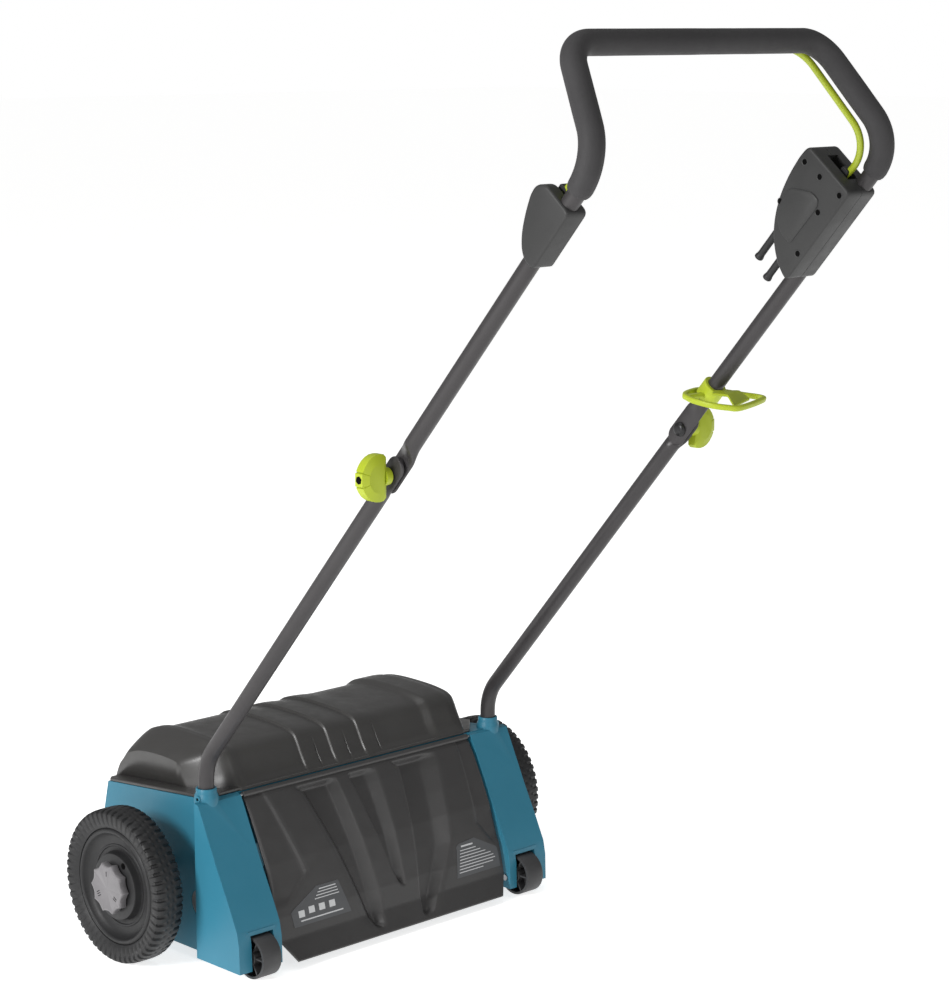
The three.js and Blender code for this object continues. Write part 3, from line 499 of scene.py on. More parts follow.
piece("corner_shelf_right", *slab([(186, -83.4), (234.8, -83.4), (234.8, -34), (190, -70)], 2.6,
      on_shelf), BLUE, "deck", (), "deck_blue", bevel=0.0006)

# ---------- rear flap ----------
FLAP_FACE = [
    (-90.6, 198), (-102.5, 178), (-116.8, 150), (-130.8, 120), (-140.7, 91), (-150, 60),
    (-156, 33), (-169.6, 11),
]
FLAP_LENGTH = 206.0
FLAP_HALF = 183.4


def flap_point(s):
    """Point and outward normal on the flap's face at distance s down it."""
    left = s
    for (y1, z1), (y2, z2) in zip(FLAP_FACE, FLAP_FACE[1:]):
        run = math.hypot(y2 - y1, z2 - z1)
        if left <= run or (y2, z2) == FLAP_FACE[-1]:
            t = left / run
            n = Vector(((z2 - z1), -(y2 - y1))) / run
            return Vector((y1 + (y2 - y1) * t, z1 + (z2 - z1) * t)), n
        left -= run


# each channel: left edge, its wall's width, floor's right edge, end of the slope on its
# right (all x against s), then the s where it starts and ends, and its depth
CHANNELS = (
    ([(4, -113), (14, -99), (200, -43)], 9, [(6, -56), (165, -37), (200, -33)],
     [(6, -43), (165, -23), (200, -28)], 7, 197, 9.0),
    ([(8, -24), (132, 1), (158, 12)], 4.5, [(6, 4), (140, 9), (158, 17)],
     [(6, 22), (150, 19), (158, 20)], 7, 154, 7.0),
    ([(6, 46), (14, 57), (202, 37)], 6, [(4, 97), (120, 84), (200, 47)],
     [(4, 123), (120, 106), (201, 56)], 7, 199, 9.0),
)
BORDER_LEFT = [(0, -155), (107, -128), (141, -171), (206, -172)]
BORDER_RIGHT = [(0, 160), (107, 153), (141, 176), (206, 177)]


def flap_row(s):
    """Sorted (x, depth) pairs across the flap at distance s down it."""
    border = 1.6 * (1 - smoothstep(128, 140, s))
    top = 1.4 * (1 - smoothstep(1.5, 7, s))
    keys = [(-FLAP_HALF, border), (interpolate(BORDER_LEFT, s) - 3, border),
            (interpolate(BORDER_LEFT, s) + 1, 0.0)]
    for left, wall, right, slope, start, end, depth in CHANNELS:
        d = depth * smoothstep(start - 3, start + 5, s) * (1 - smoothstep(end - 9, end + 3, s))
        x = interpolate(left, s)
        keys += [(x, 0.0), (x + wall, d), (interpolate(right, s), d), (interpolate(slope, s), 0.0)]
    keys += [(interpolate(BORDER_RIGHT, s) - 1, 0.0), (interpolate(BORDER_RIGHT, s) + 3, border),
             (FLAP_HALF, border)]
    row = []
    last = -1000.0
    for i, (x, d) in enumerate(keys):
        x = max(x, last + 1.6) if i else x
        last = x
        row.append((x, d))
    out = []
    for (x1, d1), (x2, d2) in zip(row, row[1:]):
        for t in (0.0, 0.12, 0.3, 0.5, 0.7, 0.88):
            out.append((x1 + (x2 - x1) * t, d1 + (d2 - d1) * t))
    out.append(row[-1])
    # rounds the creases by averaging neighbours
    round_off = [out[0]] + [
        (out[i][0], (out[i - 1][1] + 2 * out[i][1] + out[i + 1][1]) / 4)
        for i in range(1, len(out) - 1)] + [out[-1]]
    return [(x, d + top) for x, d in round_off]


def build_flap():
    ss = [0, 1.5, 3, 4, 5, 6, 7, 8, 9, 10, 11, 12, 14] + [16 + 3.0 * k for k in range(42)]
    ss += [142 + 1.5 * k for k in range(12)] + [160 + 2.0 * k for k in range(23)] + [FLAP_LENGTH]
    ss = sorted(set(s for s in ss if s <= FLAP_LENGTH))
    verts = []
    cols = 0
    for s in ss:
        p, n = flap_point(s)
        shrink = max(0.0, s - 178) * 0.55
        row = flap_row(s)
        cols = len(row)
        for x, depth in row:
            xx = x * (FLAP_HALF - shrink) / FLAP_HALF
            v = p - n * (depth + 0.2)
            verts.append(at(xx, v.x, v.y))
    faces = grid_faces(len(ss), cols, close_rows=False, close_cols=False)
    return verts, faces


verts, faces = build_flap()
flap = piece("flap_skin", verts, faces, FLAP, "flap", ("rear_flap",), "flap_charcoal", angle=50,
             outward=Vector((0, -1, 0.3)))
solid = flap.modifiers.new("thickness", "SOLIDIFY")
solid.thickness = 0.0028
solid.offset = -1
v, f = lathe_x([(0.01, -FLAP_HALF), (3.1, -FLAP_HALF), (3.5, -183), (3.5, 183),
                (3.1, FLAP_HALF), (0.01, FLAP_HALF)], -87.5, 198, 32)
piece("flap_barrel", v, f, FLAP, "flap", (), "flap_charcoal")


def on_flap(x, s, w):
    p, n = flap_point(s)
    v = p + n * (w - 0.15)
    return at(x, v.x, v.y)


def span(outline, s):
    """Lowest and highest x of a convex outline at distance s."""
    xs = []
    for (x1, s1), (x2, s2) in zip(outline, outline[1:] + outline[:1]):
        if s1 != s2 and min(s1, s2) - 1e-6 <= s <= max(s1, s2) + 1e-6:
            xs.append(x1 + (x2 - x1) * (s - s1) / (s2 - s1))
    return min(xs), max(xs)


def flap_patch(outline, low, high):
    """Thin closed patch that follows the flap between heights low and high above it."""
    top = min(s for _, s in outline)
    bottom = max(s for _, s in outline)
    count = max(2, int((bottom - top) / 2.5) + 1)
    verts = []
    for k in range(count):
        s = top + (bottom - top) * (0.001 + 0.998 * k / (count - 1))
        x0, x1 = span(outline, s)
        verts += [on_flap(x0, s, low), on_flap(x1, s, low), on_flap(x1, s, high),
                  on_flap(x0, s, high)]
    faces = grid_faces(count, 4, close_rows=False, close_cols=True)
    faces += [(3, 2, 1, 0), tuple(4 * count - 4 + k for k in range(4))]
    return verts, faces


def flap_plate(name, outline, bars):
    piece(name, *flap_patch(outline, -0.2, 0.35), PLATE, "flap", smooth=False)
    parts = [flap_patch([(x0, s0), (x1, s0), (x1, s1), (x0, s1)], 0.3, 0.5)
             for x0, x1, s0, s1 in bars]
    piece(name + "_marks", *merge(*parts), INK, "flap", smooth=False)


flap_plate("flap_plate_left",
           [(-163, 148), (-118, 126), (-84, 126), (-72, 167), (-161, 167)],
           [(-115, -89, 129.5, 130.7), (-118, -88, 133, 134), (-121, -87, 136.5, 137.5),
            (-124, -86, 140, 141), (-152, -143, 149, 157), (-136, -127, 147, 155),
            (-120, -111, 147, 155), (-104, -95, 147, 155), (-150, -84, 160.5, 162)])
flap_plate("flap_plate_right",
           [(112, 127), (143, 124), (178, 143), (179, 168), (104, 168)],
           [(119, 139, 129.5, 131.5), (116, 143, 135, 136), (115, 150, 138.8, 139.8),
            (114, 158, 142.6, 143.6), (113, 166, 146.4, 147.4), (112, 170, 150.2, 151.2),
            (111, 172, 154, 155), (110, 168, 157.8, 158.8), (109, 150, 161.6, 162.6)])


# ---------- wheels ----------
def build_tyre(side):
    a, b = TYRE_IN, TYRE_OUT
    outline = [(70.5, a + 5.5), (74, a + 3.2), (79, a + 1.2), (84, a + 0.4), (88, a + 0.2),
               (90.4, a + 1.4), (91.8, a + 4), (92.5, a + 8)]
    tread = [(92.7, a + 10 + k * 18.0 / 12) for k in range(1, 12)]
    back = [(r, a + b - x) for r, x in reversed(outline)]
    groove = [(68.6, b - 12), (68.2, (a + b) / 2), (68.6, a + 12)]
    outline = outline + tread + back + groove
    count = 56

    def wobble(ang, r, x):
        phase = (ang * count / (2 * math.pi)) % 1.0
        mid = (a + b) / 2
        off = abs(x - mid)
        slot = 1 - smoothstep(0.12, 0.24, abs(phase - 0.5))
        centre = 0.25 if x > mid else 0.75
        slit = 1 - smoothstep(0.08, 0.2, abs(phase - centre))
        if 77 < r < 91 and off > 10:
            x -= math.copysign(1.3 * slot * smoothstep(77, 80, r), x - mid)
        if r > 90 and off > 6.2:
            r -= 2.4 * slot * smoothstep(6.2, 10, off)
        elif r > 92 and 1.6 < off < 5.6:
            r -= 1.0 * slit
        return r, side * x

    return lathe_x(outline, 0, AXLE_Z, count * 8, wobble)


for label, side in SIDES:
    body = "wheel_" + label
    v, f = build_tyre(side)
    piece("tyre_tread_" + label, v, f, TYRE, body, ("tyre_" + label,), "tyre", angle=38)
    a, b = TYRE_IN, TYRE_OUT
    outline = [
        (6.15, a + 1), (19, a + 1), (20, a + 2), (23, a + 11), (26, a + 13), (60, a + 11),
        (66, a + 8), (69, a + 6.6), (70.4, a + 8), (68.4, a + 19), (70.4, b - 8), (69.6, b - 6),
        (68, b - 4.6), (66, b - 4.2), (64.5, b - 4.8), (63.5, b - 6.5), (61, b - 10.5),
        (57, b - 13), (50, b - 13.6), (49, b - 12.6), (47.5, b - 12.6), (46.5, b - 13.8),
        (42, b - 14.6), (41, b - 13.5), (40.4, b - 7), (39.6, b - 5.4), (38.6, b - 5),
        (6.15, b - 5)]
    v, f = lathe_x([(r, side * x) for r, x in outline], 0, AXLE_Z, 96)
    piece("wheel_dish_" + label, v, f, BLACK, body, ("wheel_disc_" + label,), "black_plastic",
          angle=40)
    # thin near-black disc on the wheel's face: painted shade of a vent hole
    v, f = lathe_about(at(side * 308.1, -18.6, AXLE_Z + 29.4), Vector((side, 0, 0)), [
        (0.01, 0.15), (3.8, 0.2), (4.0, -0.4), (4.0, -1), (0.01, -1)], 24)
    piece("wheel_vent_shade_" + label, v, f, HOLE_SHADE_AND_MARK, body)


def build_knob():
    lobes, sides = 10, 160
    outline = [(0.01, 308.6), (27, 308.6), (30.4, 309.6), (31.2, 311), (31.2, 316.2),
               (30.9, 318.4), (30.0, 319.3), (28.2, 319.6), (27.4, 319.2), (0.01, 319.2)]

    def wobble(ang, r, x):
        if r > 26:
            r -= 3.8 * abs(math.sin(lobes * ang / 2)) ** 0.9
        return r, -x

    return lathe_x(outline, 0, AXLE_Z, sides, wobble)


v, f = build_knob()
piece("height_knob", v, f, GREY, "depth_axle", ("depth_knob",), "grey_plastic", angle=35)
marks = []
for degrees, shifts in ((90, (0,)), (210, (-1.4, 1.4)), (330, (-2.6, 0, 2.6))):
    ang = math.radians(degrees)
    radial = Vector((0, math.cos(ang), math.sin(ang)))
    across = Vector((0, -math.sin(ang), math.cos(ang)))
    centre = at(-319.25, 0, AXLE_Z)
    for shift in shifts:
        def place(u, w, d, r=radial, c=across, o=centre, s=shift):
            return o + r * ((15 + u) * MM) + c * ((w + s) * MM) - Vector((d * MM, 0, 0))

        marks.append(slab([(0, -0.4), (6, -0.4), (6, 0.4), (0, 0.4)], 0.2, place))
piece("height_knob_marks", *merge(*marks), HOLE_SHADE_AND_MARK, "depth_axle", smooth=False)
v, f = lathe_x([(0.01, 308.4), (23, 308.4), (24, 309.4), (24, 313.5), (22.6, 317), (19, 319.2),
                (14, 319.7), (12.6, 319.3), (11, 319.3), (9.6, 319.7), (0.01, 319.7)],
               0, AXLE_Z, 64)
piece("hub_cap_turned", v, f, GREY, "depth_axle", ("hub_cap_right",), "grey_plastic", angle=35)

# ---------- rear rollers ----------
for label, side in SIDES:
    a, b = 203.0, 230.0
    rim = [(22.6, a), (25.4, a), (25.66, a + 0.6), (25.66, b - 0.6), (25.4, b), (22.6, b),
           (22.2, b - 0.5), (22.0, (a + b) / 2), (22.2, a + 0.5)]
    hub = [(4.2, a), (8.6, a), (9, a + 0.5), (9, b - 0.5), (8.6, b), (4.2, b)]
    web = [(8.8, b - 15), (22.2, b - 15), (22.2, b - 12.5), (8.8, b - 12.5)]
    parts = [lathe_x([(r, side * x) for r, x in ring], -154, 25.68, 72) for ring in (rim, hub, web)]
    for k in range(6):
        ang = math.pi * k / 3
        r_dir = Vector((0, math.cos(ang), math.sin(ang)))
        t_dir = Vector((0, -math.sin(ang), math.cos(ang)))
        centre = at(side * (a + b) / 2, -154, 25.68)

        def place(u, w, d, r=r_dir, c=t_dir, o=centre, s=side):
            return o + r * (u * MM) + c * (w * MM) + Vector((s * (d - 12) * MM, 0, 0))

        parts.append(slab([(8.4, -0.9), (22.4, -0.9), (22.4, 0.9), (8.4, 0.9)], 24, place))
    piece("roller_wheel_" + label, *merge(*parts), ROLLER, "roller_" + label,
          ("rear_roller_" + label,), "roller_plastic", angle=35)


# ---------- handle ----------
def flat_end(t, tip, root, outward):
    """Section of a tube whose end is pressed flat between tip and root (handle mm)."""
    away = abs(t - tip)
    length = abs(root - tip)
    flat = 1 - smoothstep(length - 22, length, away)
    a = TUBE_R + (3.0 - TUBE_R) * flat
    b = TUBE_R + (12.5 - TUBE_R) * flat
    if away < 12.5:
        b *= math.sqrt(max(0.0, 1 - ((12.5 - away) / 12.5) ** 2)) * 0.98 + 0.02
    return a, b, outward * 3.4 * flat


for label, side in SIDES:
    x = side * TUBE_X
    y1, z1 = on_handle(150)
    path = bend([(x, SOCKET_Y, 153), (x, SOCKET_Y, 244.8, 60, 16), (x, y1, z1)])
    ts = [0] * len(path)
    extra = [170 + 14 * k for k in range(15)] + [372 + 2 * k for k in range(33)]
    extra += [437, 439, 441, 443, 445, 447, 449, 450.5, 452, 453, 453.7, 454]
    extra = sorted(set(t for t in extra if t <= 454))
    path += [Vector((x, *on_handle(t))) for t in extra]
    ts += extra

    def lower_section(i):
        return flat_end(ts[i], 454, 400, side) if ts[i] else (TUBE_R, TUBE_R, 0)

    v, f = sweep_tube(path, lower_section, 36)
    piece("tube_lower_" + label, v, f, TUBE, "deck", ("handle_tube_lower_" + label,), "tube_grey",
          angle=45)


def grip_path(t, sections):
    y, z = on_handle(t)
    return bend([
        (-TUBE_X, y, z), (-TUBE_X, -698.4, 966, 50, sections),
        (-194, -623, 1075, 38, sections + 4), (194, -623, 1075, 38, sections + 4),
        (TUBE_X, -698.4, 966, 50, sections), (TUBE_X, y, z)])


leg = [406, 406.4, 407, 408, 409.5, 411, 413, 415, 418] + [421 + 2.5 * k for k in range(26)]
leg += [500 + 30 * k for k in range(11)]
bent = grip_path(837, 12)
up = [Vector((-TUBE_X, *on_handle(t))) for t in leg]
down = [Vector((TUBE_X, *on_handle(t))) for t in reversed(leg)]
path = up + bent + down
ts = leg + [0] * len(bent) + list(reversed(leg))


def upper_section(i):
    if not ts[i] or ts[i] > 500:
        return TUBE_R, TUBE_R, 0.0
    return flat_end(ts[i], 406, 478, 1)


v, f = sweep_tube(path, upper_section, 36)
piece("tube_upper", v, f, TUBE, "upper_handle", ("handle_tube_upper",), "tube_grey", angle=45)

grip = grip_path(837, 18)
dense = []
for p, q in zip(grip, grip[1:]):
    steps = max(1, int((q - p).length / 6))
    dense += [p.lerp(q, k / steps) for k in range(steps)]
dense.append(grip[-1])


def foam_section(i):
    near = min(i, len(dense) - 1 - i)
    r = GRIP_R - (1.6 if near == 0 else 0.5 if near == 1 else 0)
    r += 0.15 * noise.noise(dense[i] * 0.03)
    return r, r, 0.0


v, f = sweep_tube(dense, foam_section, 48)
foam = piece("foam_sleeve", v, f, FOAM, "upper_handle", ("grip_foam",), "foam", angle=60)

# bail: lime rod with a dark lever at each end; its left corners are drawn in, as in the photo
dy, dz = 22 * 0.93, -22 * 0.367
start = on_handle(806, 21)
corner = (-698.4 + dy + 1, 966 + dz + 3)
bar = (-623 + dy, 1075 + dz)
path = bend([
    (-221, *start), (-217, *corner, 40, 14), (-181, *bar, 32, 16), (188, *bar, 32, 16),
    (221, *corner, 40, 14), (221, *start)])
v, f = sweep_tube(path, lambda i: (BAIL_R, BAIL_R, 0.0), 28)
piece("bail_rod", v, f, LIME_ROD, "bail", ("bail_lever",), "lime_paint", angle=50)
for label, side in SIDES:
    outline = []
    for k in range(13):
        a = math.pi / 2 + math.pi * k / 12
        outline.append((790 + 6.4 * math.cos(a), 21 + 6.4 * math.sin(a)))
    outline += [(806, 15.4), (822, 16.4), (824, 18), (824, 25), (822, 26.4), (806, 26.8)]

    def place(t, n, w, s=side):
        return at(s * (214.5 + w), *on_handle(t, n))

    piece("bail_arm_" + label, *slab(outline, 9.5, place), BLACK, "bail", (), "black_plastic",
          bevel=0.0008, angle=40)

# ---------- switch box, housings ----------
def rounded(outline):
    """Rounds an outline of (t, n, radius) corners."""
    pts = []
    count = len(outline)
    for i in range(count):
        t, n, radius = outline[i]
        p = Vector((t, n))
        a = Vector(outline[i - 1][:2]) - p
        b = Vector(outline[(i + 1) % count][:2]) - p
        reach = min(radius, a.length * 0.48, b.length * 0.48)
        a, b = p + a.normalized() * reach, p + b.normalized() * reach
        for k in range(7):
            w = k / 6
            pts.append(a * (1 - w) ** 2 + p * (2 * w * (1 - w)) + b * w ** 2)
    return pts


def shrunk(points, inset):
    """Moves a counter-clockwise or clockwise outline inwards."""
    area = sum(points[i - 1].cross(points[i]) for i in range(len(points)))
    turn = 1 if area > 0 else -1
    out = []
    for i, p in enumerate(points):
        along = (points[(i + 1) % len(points)] - points[i - 1]).normalized()
        out.append(p + Vector((-along.y, along.x)) * (inset * turn))
    return out


def handle_shell(outline, x_face, x_seam, edge):
    """Moulded shell: its face at x_face has rounded edges, its seam side is square."""
    points = rounded(outline)
    way = 1 if x_seam > x_face else -1
    layers = [(0.0, edge), (0.12 * edge, 0.5 * edge), (0.45 * edge, 0.15 * edge), (edge, 0.0),
              (abs(x_seam - x_face) - 0.5, 0.0), (abs(x_seam - x_face), 0.5)]
    verts = []
    for depth, inset in layers:
        verts += [at(x_face + way * depth, *on_handle(p.x, p.y)) for p in shrunk(points, inset)]
    n = len(points)
    faces = grid_faces(len(layers), n, close_rows=False, close_cols=True)
    faces += [tuple(range(n)), tuple((len(layers) - 1) * n + k for k in reversed(range(n)))]
    return verts, faces


def carve(obj, *cutters):
    """Cuts closed forms out of a piece and keeps the result as its mesh."""
    verts, faces = merge(*cutters)
    mesh = bpy.data.meshes.new("cutter")
    mesh.from_pydata([tuple(v) for v in verts], [], faces)
    bm = bmesh.new()
    bm.from_mesh(mesh)
    bmesh.ops.recalc_face_normals(bm, faces=bm.faces)
    bm.to_mesh(mesh)
    bm.free()
    tool = bpy.data.objects.new("cutter", mesh)
    bpy.context.scene.collection.objects.link(tool)
    mod = obj.modifiers.new("carve", "BOOLEAN")
    mod.operation = "DIFFERENCE"
    mod.solver = "EXACT"
    mod.use_self = True
    mod.object = tool
    bpy.context.view_layer.update()
    graph = bpy.context.evaluated_depsgraph_get()
    result = bpy.data.meshes.new_from_object(obj.evaluated_get(graph))
    obj.modifiers.remove(mod)
    look = obj.data.materials[0]
    obj.data = result
    result.materials.clear()
    result.materials.append(look)
    for poly in result.polygons:
        poly.use_smooth = True
        poly.material_index = 0
    result.set_sharp_from_angle(angle=math.radians(32))
    bpy.data.objects.remove(tool)


def handle_block(x0, x1, t0, t1, n0, n1):
    ring = [(t0, n0), (t1, n0), (t1, n1), (t0, n1)]
    return slab(ring, x1 - x0, lambda t, n, w: at(x0 + w, *on_handle(t, n)))


def handle_rod(x, t0, t1, n, r):
    axis = at(x, *on_handle(t1, n)) - at(x, *on_handle(t0, n))
    return lathe_about(at(x, *on_handle(t0, n)), axis,
                       [(0.01, 0), (r, 0), (r, t1 - t0), (0.01, t1 - t0)], 32)


BOX = [
    (687, -12, 9), (693, 8, 12), (700, 20, 12), (712, 35, 14), (730, 48, 16), (752, 58, 18),
    (778, 64, 16), (804, 66, 12), (820, 64, 10), (820, -12, 7),
]
mouth = handle_block(210.5, 228, 772, 840, 9, 47)
tube_hole = handle_rod(TUBE_X, 640, 860, 0, 9.9)
inner = piece("switch_shell_inner", *handle_shell(BOX, 194, 217.9, 2.8), BOX_LOOK, "upper_handle",
              ("switch_box_inner",), "box_charcoal")
carve(inner, mouth, tube_hole)
outer = piece("switch_shell_outer", *handle_shell(BOX, 242, 218.1, 2.8), BOX_LOOK, "upper_handle",
              ("switch_box_outer",), "box_charcoal")
# stepped pocket that lets the lock button sink below the face
pocket = lathe_about(at(227.5, *on_handle(770, 40)), Vector((1, 0, 0)), [
    (0.01, 0), (10.2, 0), (10.2, 8.6), (8.3, 8.8), (8.3, 19), (0.01, 19)], 40)
carve(outer, mouth, tube_hole, pocket)
LEFT_BOX = [
    (745, -13, 9), (744, 1, 12), (750, 12, 14), (762, 22, 16), (780, 31, 18), (800, 38, 12),
    (812, 38, 10), (821, 28, 9), (821, -13, 7),
]
pod = piece("bail_shell_left", *handle_shell(LEFT_BOX, -242, -215, 2.8), BOX_LOOK, "upper_handle",
            ("bail_housing_left",), "box_charcoal")
carve(pod, handle_block(-228, -210, 772, 840, 9, 43), handle_rod(-TUBE_X, 640, 860, 0, 9.9))
# raised cover on the inner face
cover = rounded([(723, 11, 4), (722, 28, 8), (732, 44, 12), (750, 52.5, 14), (768, 53, 8),
                 (786, 27, 7), (786, 14, 6), (778, 10, 5)])
layers = [(0.0, 1.6), (0.35, 0.6), (1.0, 0.0), (3.0, 0.0)]
verts = []
for depth, inset in layers:
    verts += [at(192.5 + depth, *on_handle(p.x, p.y)) for p in shrunk(cover, inset)]
n = len(cover)
faces = grid_faces(len(layers), n, close_rows=False, close_cols=True)
faces += [tuple(range(n)), tuple((len(layers) - 1) * n + k for k in reversed(range(n)))]
piece("switch_cover", verts, faces, BOX_LOOK, "upper_handle", (), "box_charcoal")
SCREWS = [(803, 56), (805, 30), (808.5, -3), (748, 52), (775, 6), (722.5, -4)]
for k, (t, n) in enumerate(SCREWS):
    v, f = lathe_about(at(194.0, *on_handle(t, n)), Vector((-1, 0, 0)), [
        (3.2, -0.6), (3.2, 0.2), (3.7, 0.4), (4.2, 0.1), (4.2, -0.6)], 32)
    piece(f"box_screw_rim_{k + 1}", v, f, BOX_LOOK, "upper_handle", (), "box_charcoal")
    # near-black disc inside each rim: painted shade of the screw hole
    v, f = lathe_about(at(193.95, *on_handle(t, n)), Vector((-1, 0, 0)), [
        (0.01, 0.1), (3.2, 0.14), (3.2, -0.6), (0.01, -0.6)], 24)
    piece(f"box_screw_{k + 1}", v, f, HOLE_SHADE_AND_MARK, "upper_handle")
v, f = lathe_about(at(231, *on_handle(770, 40)), Vector((1, 0, 0)), [
    (0.01, 0), (9.8, 0), (9.8, 2.8), (7.9, 3.1), (7.9, 11.2), (7.0, 12.2), (5, 12.5),
    (0.01, 12.1)], 40)
piece("lock_button_turned", v, f, LIME, "button", ("lock_button",), "lime_plastic", angle=35)
for name, n, tip in (("upper", 46, 665), ("lower", 22, 656)):
    ring = [(2.6, 0), (4.6, 0), (5.2, 0.8), (5.2, 3.0), (4.7, 4.4), (4.3, 7), (4.3, 30),
            (4.7, 52), (4.7, 74), (2.6, 74)]
    axis = at(218, *on_handle(100, n)) - at(218, *on_handle(0, n))
    v, f = lathe_about(at(218, *on_handle(tip, n)), axis, ring, 36)
    piece("sleeve_" + name, v, f, BLACK, "upper_handle", ("strain_relief_" + name,), "belt_rubber",
          angle=35)
    # near-black disc set into the sleeve's bore: painted shade of the bore
    v, f = lathe_about(at(218, *on_handle(tip + 3, n)), axis, [
        (0.01, 0), (2.7, 0), (2.7, 4), (0.01, 4)], 20)
    piece("sleeve_bore_shade_" + name, v, f, HOLE_SHADE_AND_MARK, "upper_handle")

# ---------- fold joint ----------
JY, JZ = on_handle(JOINT_T)
for label, side in SIDES:
    v, f = lathe_about(at(side * 223.4, JY, JZ), Vector((-side, 0, 0)), [
        (0.01, 0), (8.2, 0), (8.5, 0.6), (8.2, 2.2), (6.6, 3.9), (4, 4.6), (0.01, 4.7)], 40)
    head = (v, f)
    v, f = lathe_about(at(side * 224, JY, JZ), Vector((side, 0, 0)), [
        (0.01, 0), (4, 0), (4, 31), (0.01, 31)], 24)
    piece("bolt_turned_" + label, *merge(head, (v, f)), BOLT, "deck", ("fold_bolt_" + label,),
          "steel", angle=35)


def build_wing(side):
    """D-shaped knob with wide chamfers, grooved twice across its outer rim."""
    half = [(-1, 21.4), (2.5, 24.9), (8, 25.4), (14, 24.8), (19.4, 22.6), (24.4, 19), (28.4, 14.2),
            (31, 9.4), (31.3, 8.7), (29.8, 8.3), (29.8, 7.7), (32.2, 7.2), (32.6, 6.6)]
    ring = half + [(u, -z) for u, z in reversed(half)]
    verts = []
    for w, k in ((-8.6, 0.62), (-5.6, 1.0), (5.6, 1.0), (8.6, 0.62)):
        verts += [at(side * (246 + 12 + (u - 12) * k), JY + w, JZ + z * k) for u, z in ring]
    n = len(ring)
    faces = grid_faces(4, n, close_rows=False, close_cols=True)
    faces += [tuple(range(n)), tuple(3 * n + k for k in reversed(range(n)))]
    return verts, faces


for label, side in SIDES:
    v, f = build_wing(side)
    collar = lathe_about(at(side * 237.4, JY, JZ), Vector((side, 0, 0)), [
        (4.4, 0), (8.2, 0), (9.4, 1), (10.6, 10), (4.4, 10)], 36)
    piece("wing_" + label, *merge((v, f), collar), LIME, "wing_" + label, ("wing_knob_" + label,),
          "lime_plastic", bevel=0.0005, angle=18)
    # flat near-black hexagon on the knob's end: painted shade of the hex hole
    v, f = lathe_about(at(side * 278.2, JY, JZ), Vector((side, 0, 0)), [
        (0.01, 0.5), (4.6, 0.55), (4.6, -2), (0.01, -2)], 6)
    piece("wing_socket_" + label, v, f, HOLE_SHADE_AND_MARK, "wing_" + label, smooth=False)

# ---------- cord hook ----------
HY, HZ = on_handle(HOOK_T)
LOOP = [
    (192, -441, 671.2), (187.6, -453.2, 669.5), (186.4, -462.2, 668.3), (187.4, -472.9, 666.8),
    (190, -483.1, 665.3), (194.5, -491, 664.1), (201, -498, 663.1), (209, -503.5, 661.9),
    (221.3, -504, 662.3), (246.9, -498, 663.1), (272, -490.4, 664.3), (279, -484.5, 665),
    (276.5, -476.6, 666.2), (268, -466, 667.8), (257, -447, 670.4), (246, -432, 672.5),
    (232, -426.6, 673.2), (215.1, -429, 672.9), (201, -434, 672.2),
]
loop = smooth_line(LOOP + LOOP[:1], 4)[:-1]
ring = sweep_tube(loop, lambda i: (3.4, 3.0, 0.0), 20, closed=True, first=Vector((0, 0, 1)),
                  power=3)
axis = at(TUBE_X, *on_handle(100)) - at(TUBE_X, *on_handle(0))
clip = lathe_about(at(TUBE_X, *on_handle(484)), axis, [
    (9.9, 0), (13.4, 0), (14.2, 0.8), (14.2, 19.2), (13.4, 20), (9.9, 20)], 48)
bridges = []
for x0, x1 in ((190, 219), (241, 256)):
    bridges.append(sweep_tube([Vector((x0 + (x1 - x0) * k / 6, HY, HZ)) for k in range(7)],
                              lambda i: (3.2, 5.0, 0.0), 20, first=Vector((0, 0, 1)), power=4))
bridges.append(sweep_tube([Vector((235.5, -416 - 20 * k / 4, HZ)) for k in range(5)],
                          lambda i: (3.2, 4.2, 0.0), 20, first=Vector((0, 0, 1)), power=4))
TONGUE = [
    ((202.7, -471.2, 677.1), (219.5, -462.7, 678.3)), ((210, -477, 676.3), (233, -468.5, 677.5)),
    ((217.4, -483.4, 675.4), (249, -474.6, 676.6)), ((215.4, -489.6, 670.2), (255, -477, 671.8)),
    ((213.8, -496.5, 664.2), (262, -479.5, 666.4)),
]
verts = []
for near, far in TONGUE:
    drop = Vector((0, 0, -3.4))
    verts += [at(*near), at(*far), at(*(Vector(far) + drop)), at(*(Vector(near) + drop))]
faces = grid_faces(len(TONGUE), 4, close_rows=False, close_cols=True)
faces += [(3, 2, 1, 0), tuple(4 * len(TONGUE) - 4 + k for k in range(4))]
piece("hook_tongue", verts, faces, LIME, "hook", (), "lime_plastic", bevel=0.0013, angle=25)
piece("hook_moulded", *merge(ring, clip, *bridges), LIME, "hook", ("cable_hook",), "lime_plastic",
      angle=40)


# ---------- spring tines ----------
def build_tine(x, turn):
    pts = []

    def leg_points(dx, out):
        line = [(dx, -4.5, 53.5), (dx, 0.5, 46), (dx, 3.6, 36), (dx, 5.4, 26), (dx, 8.6, 16),
                (dx, 11.2, 7)]
        return line if out else line[::-1]

    pts += [Vector(p) for p in smooth_line(leg_points(-7, True), 4)]
    for k in range(1, 49):
        a = 0.55 + 2 * math.pi * 2.0 * k / 48
        pts.append(Vector((-7 + 4.6 * k / 48, 11.6 * math.cos(a), 11.6 * math.sin(a))))
    pts.append(Vector((-2.2, 11.8, 8)))
    pts.append(Vector((2.2, 11.8, 8)))
    for k in range(48):
        a = 0.55 - 2 * math.pi * 2.0 * k / 48
        pts.append(Vector((2.4 + 4.6 * k / 48, 11.6 * math.cos(a), 11.6 * math.sin(a))))
    pts += [Vector(p) for p in smooth_line(leg_points(7, False), 4)]
    spin = Matrix.Rotation(turn, 3, "X")
    path = []
    for p in pts:
        q = spin @ p
        path.append(Vector((q.x + x, q.y - 70, q.z + 72)))
    return sweep_tube(path, lambda i: (1.35, 1.35, 0.0), 10)


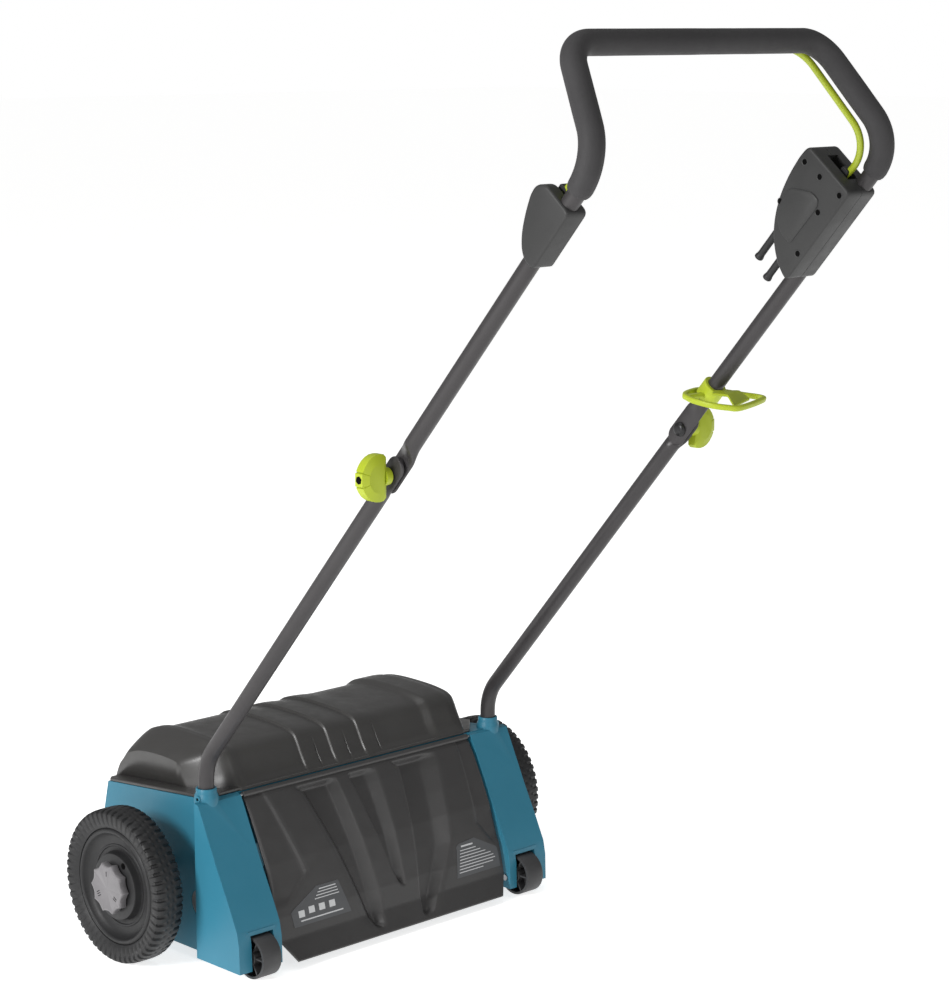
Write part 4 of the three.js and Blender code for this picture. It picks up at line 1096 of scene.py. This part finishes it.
for k in range(12):
    x = (k - 5.5) * 31
    v, f = build_tine(x, math.pi if k % 2 else 0.0)
    name = f"spring_tine_{k + 1}"
    piece(f"tine_wire_{k + 1}", v, f, SPRING, "tine_reel", (name,), "spring_steel", angle=60)

# ---------- CAD nodes shown as they are, with smooth shading ----------
for name in ("motor_body", "tine_rotor", "cranked_axle", "drive_pulley", "driven_pulley",
             "cooling_fan", "motor_shaft", "rotor_bearing_left", "rotor_bearing_right"):
    node = NODES[name]
    for poly in node.data.polygons:
        poly.use_smooth = True
    node.data.set_sharp_from_angle(angle=math.radians(35))


# ---------- stage ----------
def area_light(name, location, target, size, power):
    data = bpy.data.lights.new(name, "AREA")
    data.shape = "RECTANGLE"
    data.size, data.size_y = size
    data.energy = power
    obj = bpy.data.objects.new(name, data)
    bpy.context.scene.collection.objects.link(obj)
    obj.location = location
    aim = Vector(target) - Vector(location)
    obj.rotation_mode = "QUATERNION"
    obj.rotation_quaternion = aim.to_track_quat("-Z", "Y")


bpy.context.scene.view_settings.view_transform = "Standard"
area_light("key", (-3.9, 0.1, 1.9), (0, 0, 0.35), (1.2, 1.2), 150)
area_light("fill", (-0.4, -3.8, 1.6), (0, 0, 0.4), (2.0, 1.6), 20)
area_light("top", (-0.4, 0.6, 4.2), (0, 0, 0.3), (3.0, 3.0), 34)
world = bpy.data.worlds.new("studio")
bpy.context.scene.world = world
world.use_nodes = True
tree = world.node_tree
dim = tree.nodes["Background"]
dim.inputs["Color"].default_value = (1, 1, 1, 1)
dim.inputs["Strength"].default_value = 0.3
bright = tree.nodes.new("ShaderNodeBackground")
bright.inputs["Color"].default_value = (1, 1, 1, 1)
bright.inputs["Strength"].default_value = 1.0
path_node = tree.nodes.new("ShaderNodeLightPath")
blend = tree.nodes.new("ShaderNodeMixShader")
tree.links.new(path_node.outputs["Is Camera Ray"], blend.inputs["Fac"])
tree.links.new(dim.outputs["Background"], blend.inputs[1])
tree.links.new(bright.outputs["Background"], blend.inputs[2])
tree.links.new(blend.outputs["Shader"], tree.nodes["World Output"].inputs["Surface"])

floor_mesh = bpy.data.meshes.new("floor")
floor_mesh.from_pydata([(-30, -30, -0.0005), (30, -30, -0.0005), (30, 30, -0.0005),
                        (-30, 30, -0.0005)], [], [(0, 1, 2, 3)])
floor = bpy.data.objects.new("floor", floor_mesh)
bpy.context.scene.collection.objects.link(floor)
floor_look = material("floor_pale", "f4f4f3", 0.85, grain=40, bump=0.01, tone=0.01, wear=0,
                      rough_spread=0.02, specular=0.1)
floor_shader = floor_look.node_tree.nodes["Principled BSDF"]
floor_shader.inputs["Emission Color"].default_value = (1, 1, 1, 1)
floor_shader.inputs["Emission Strength"].default_value = 0.72
floor_mesh.materials.append(floor_look)

bpy.context.view_layer.update()
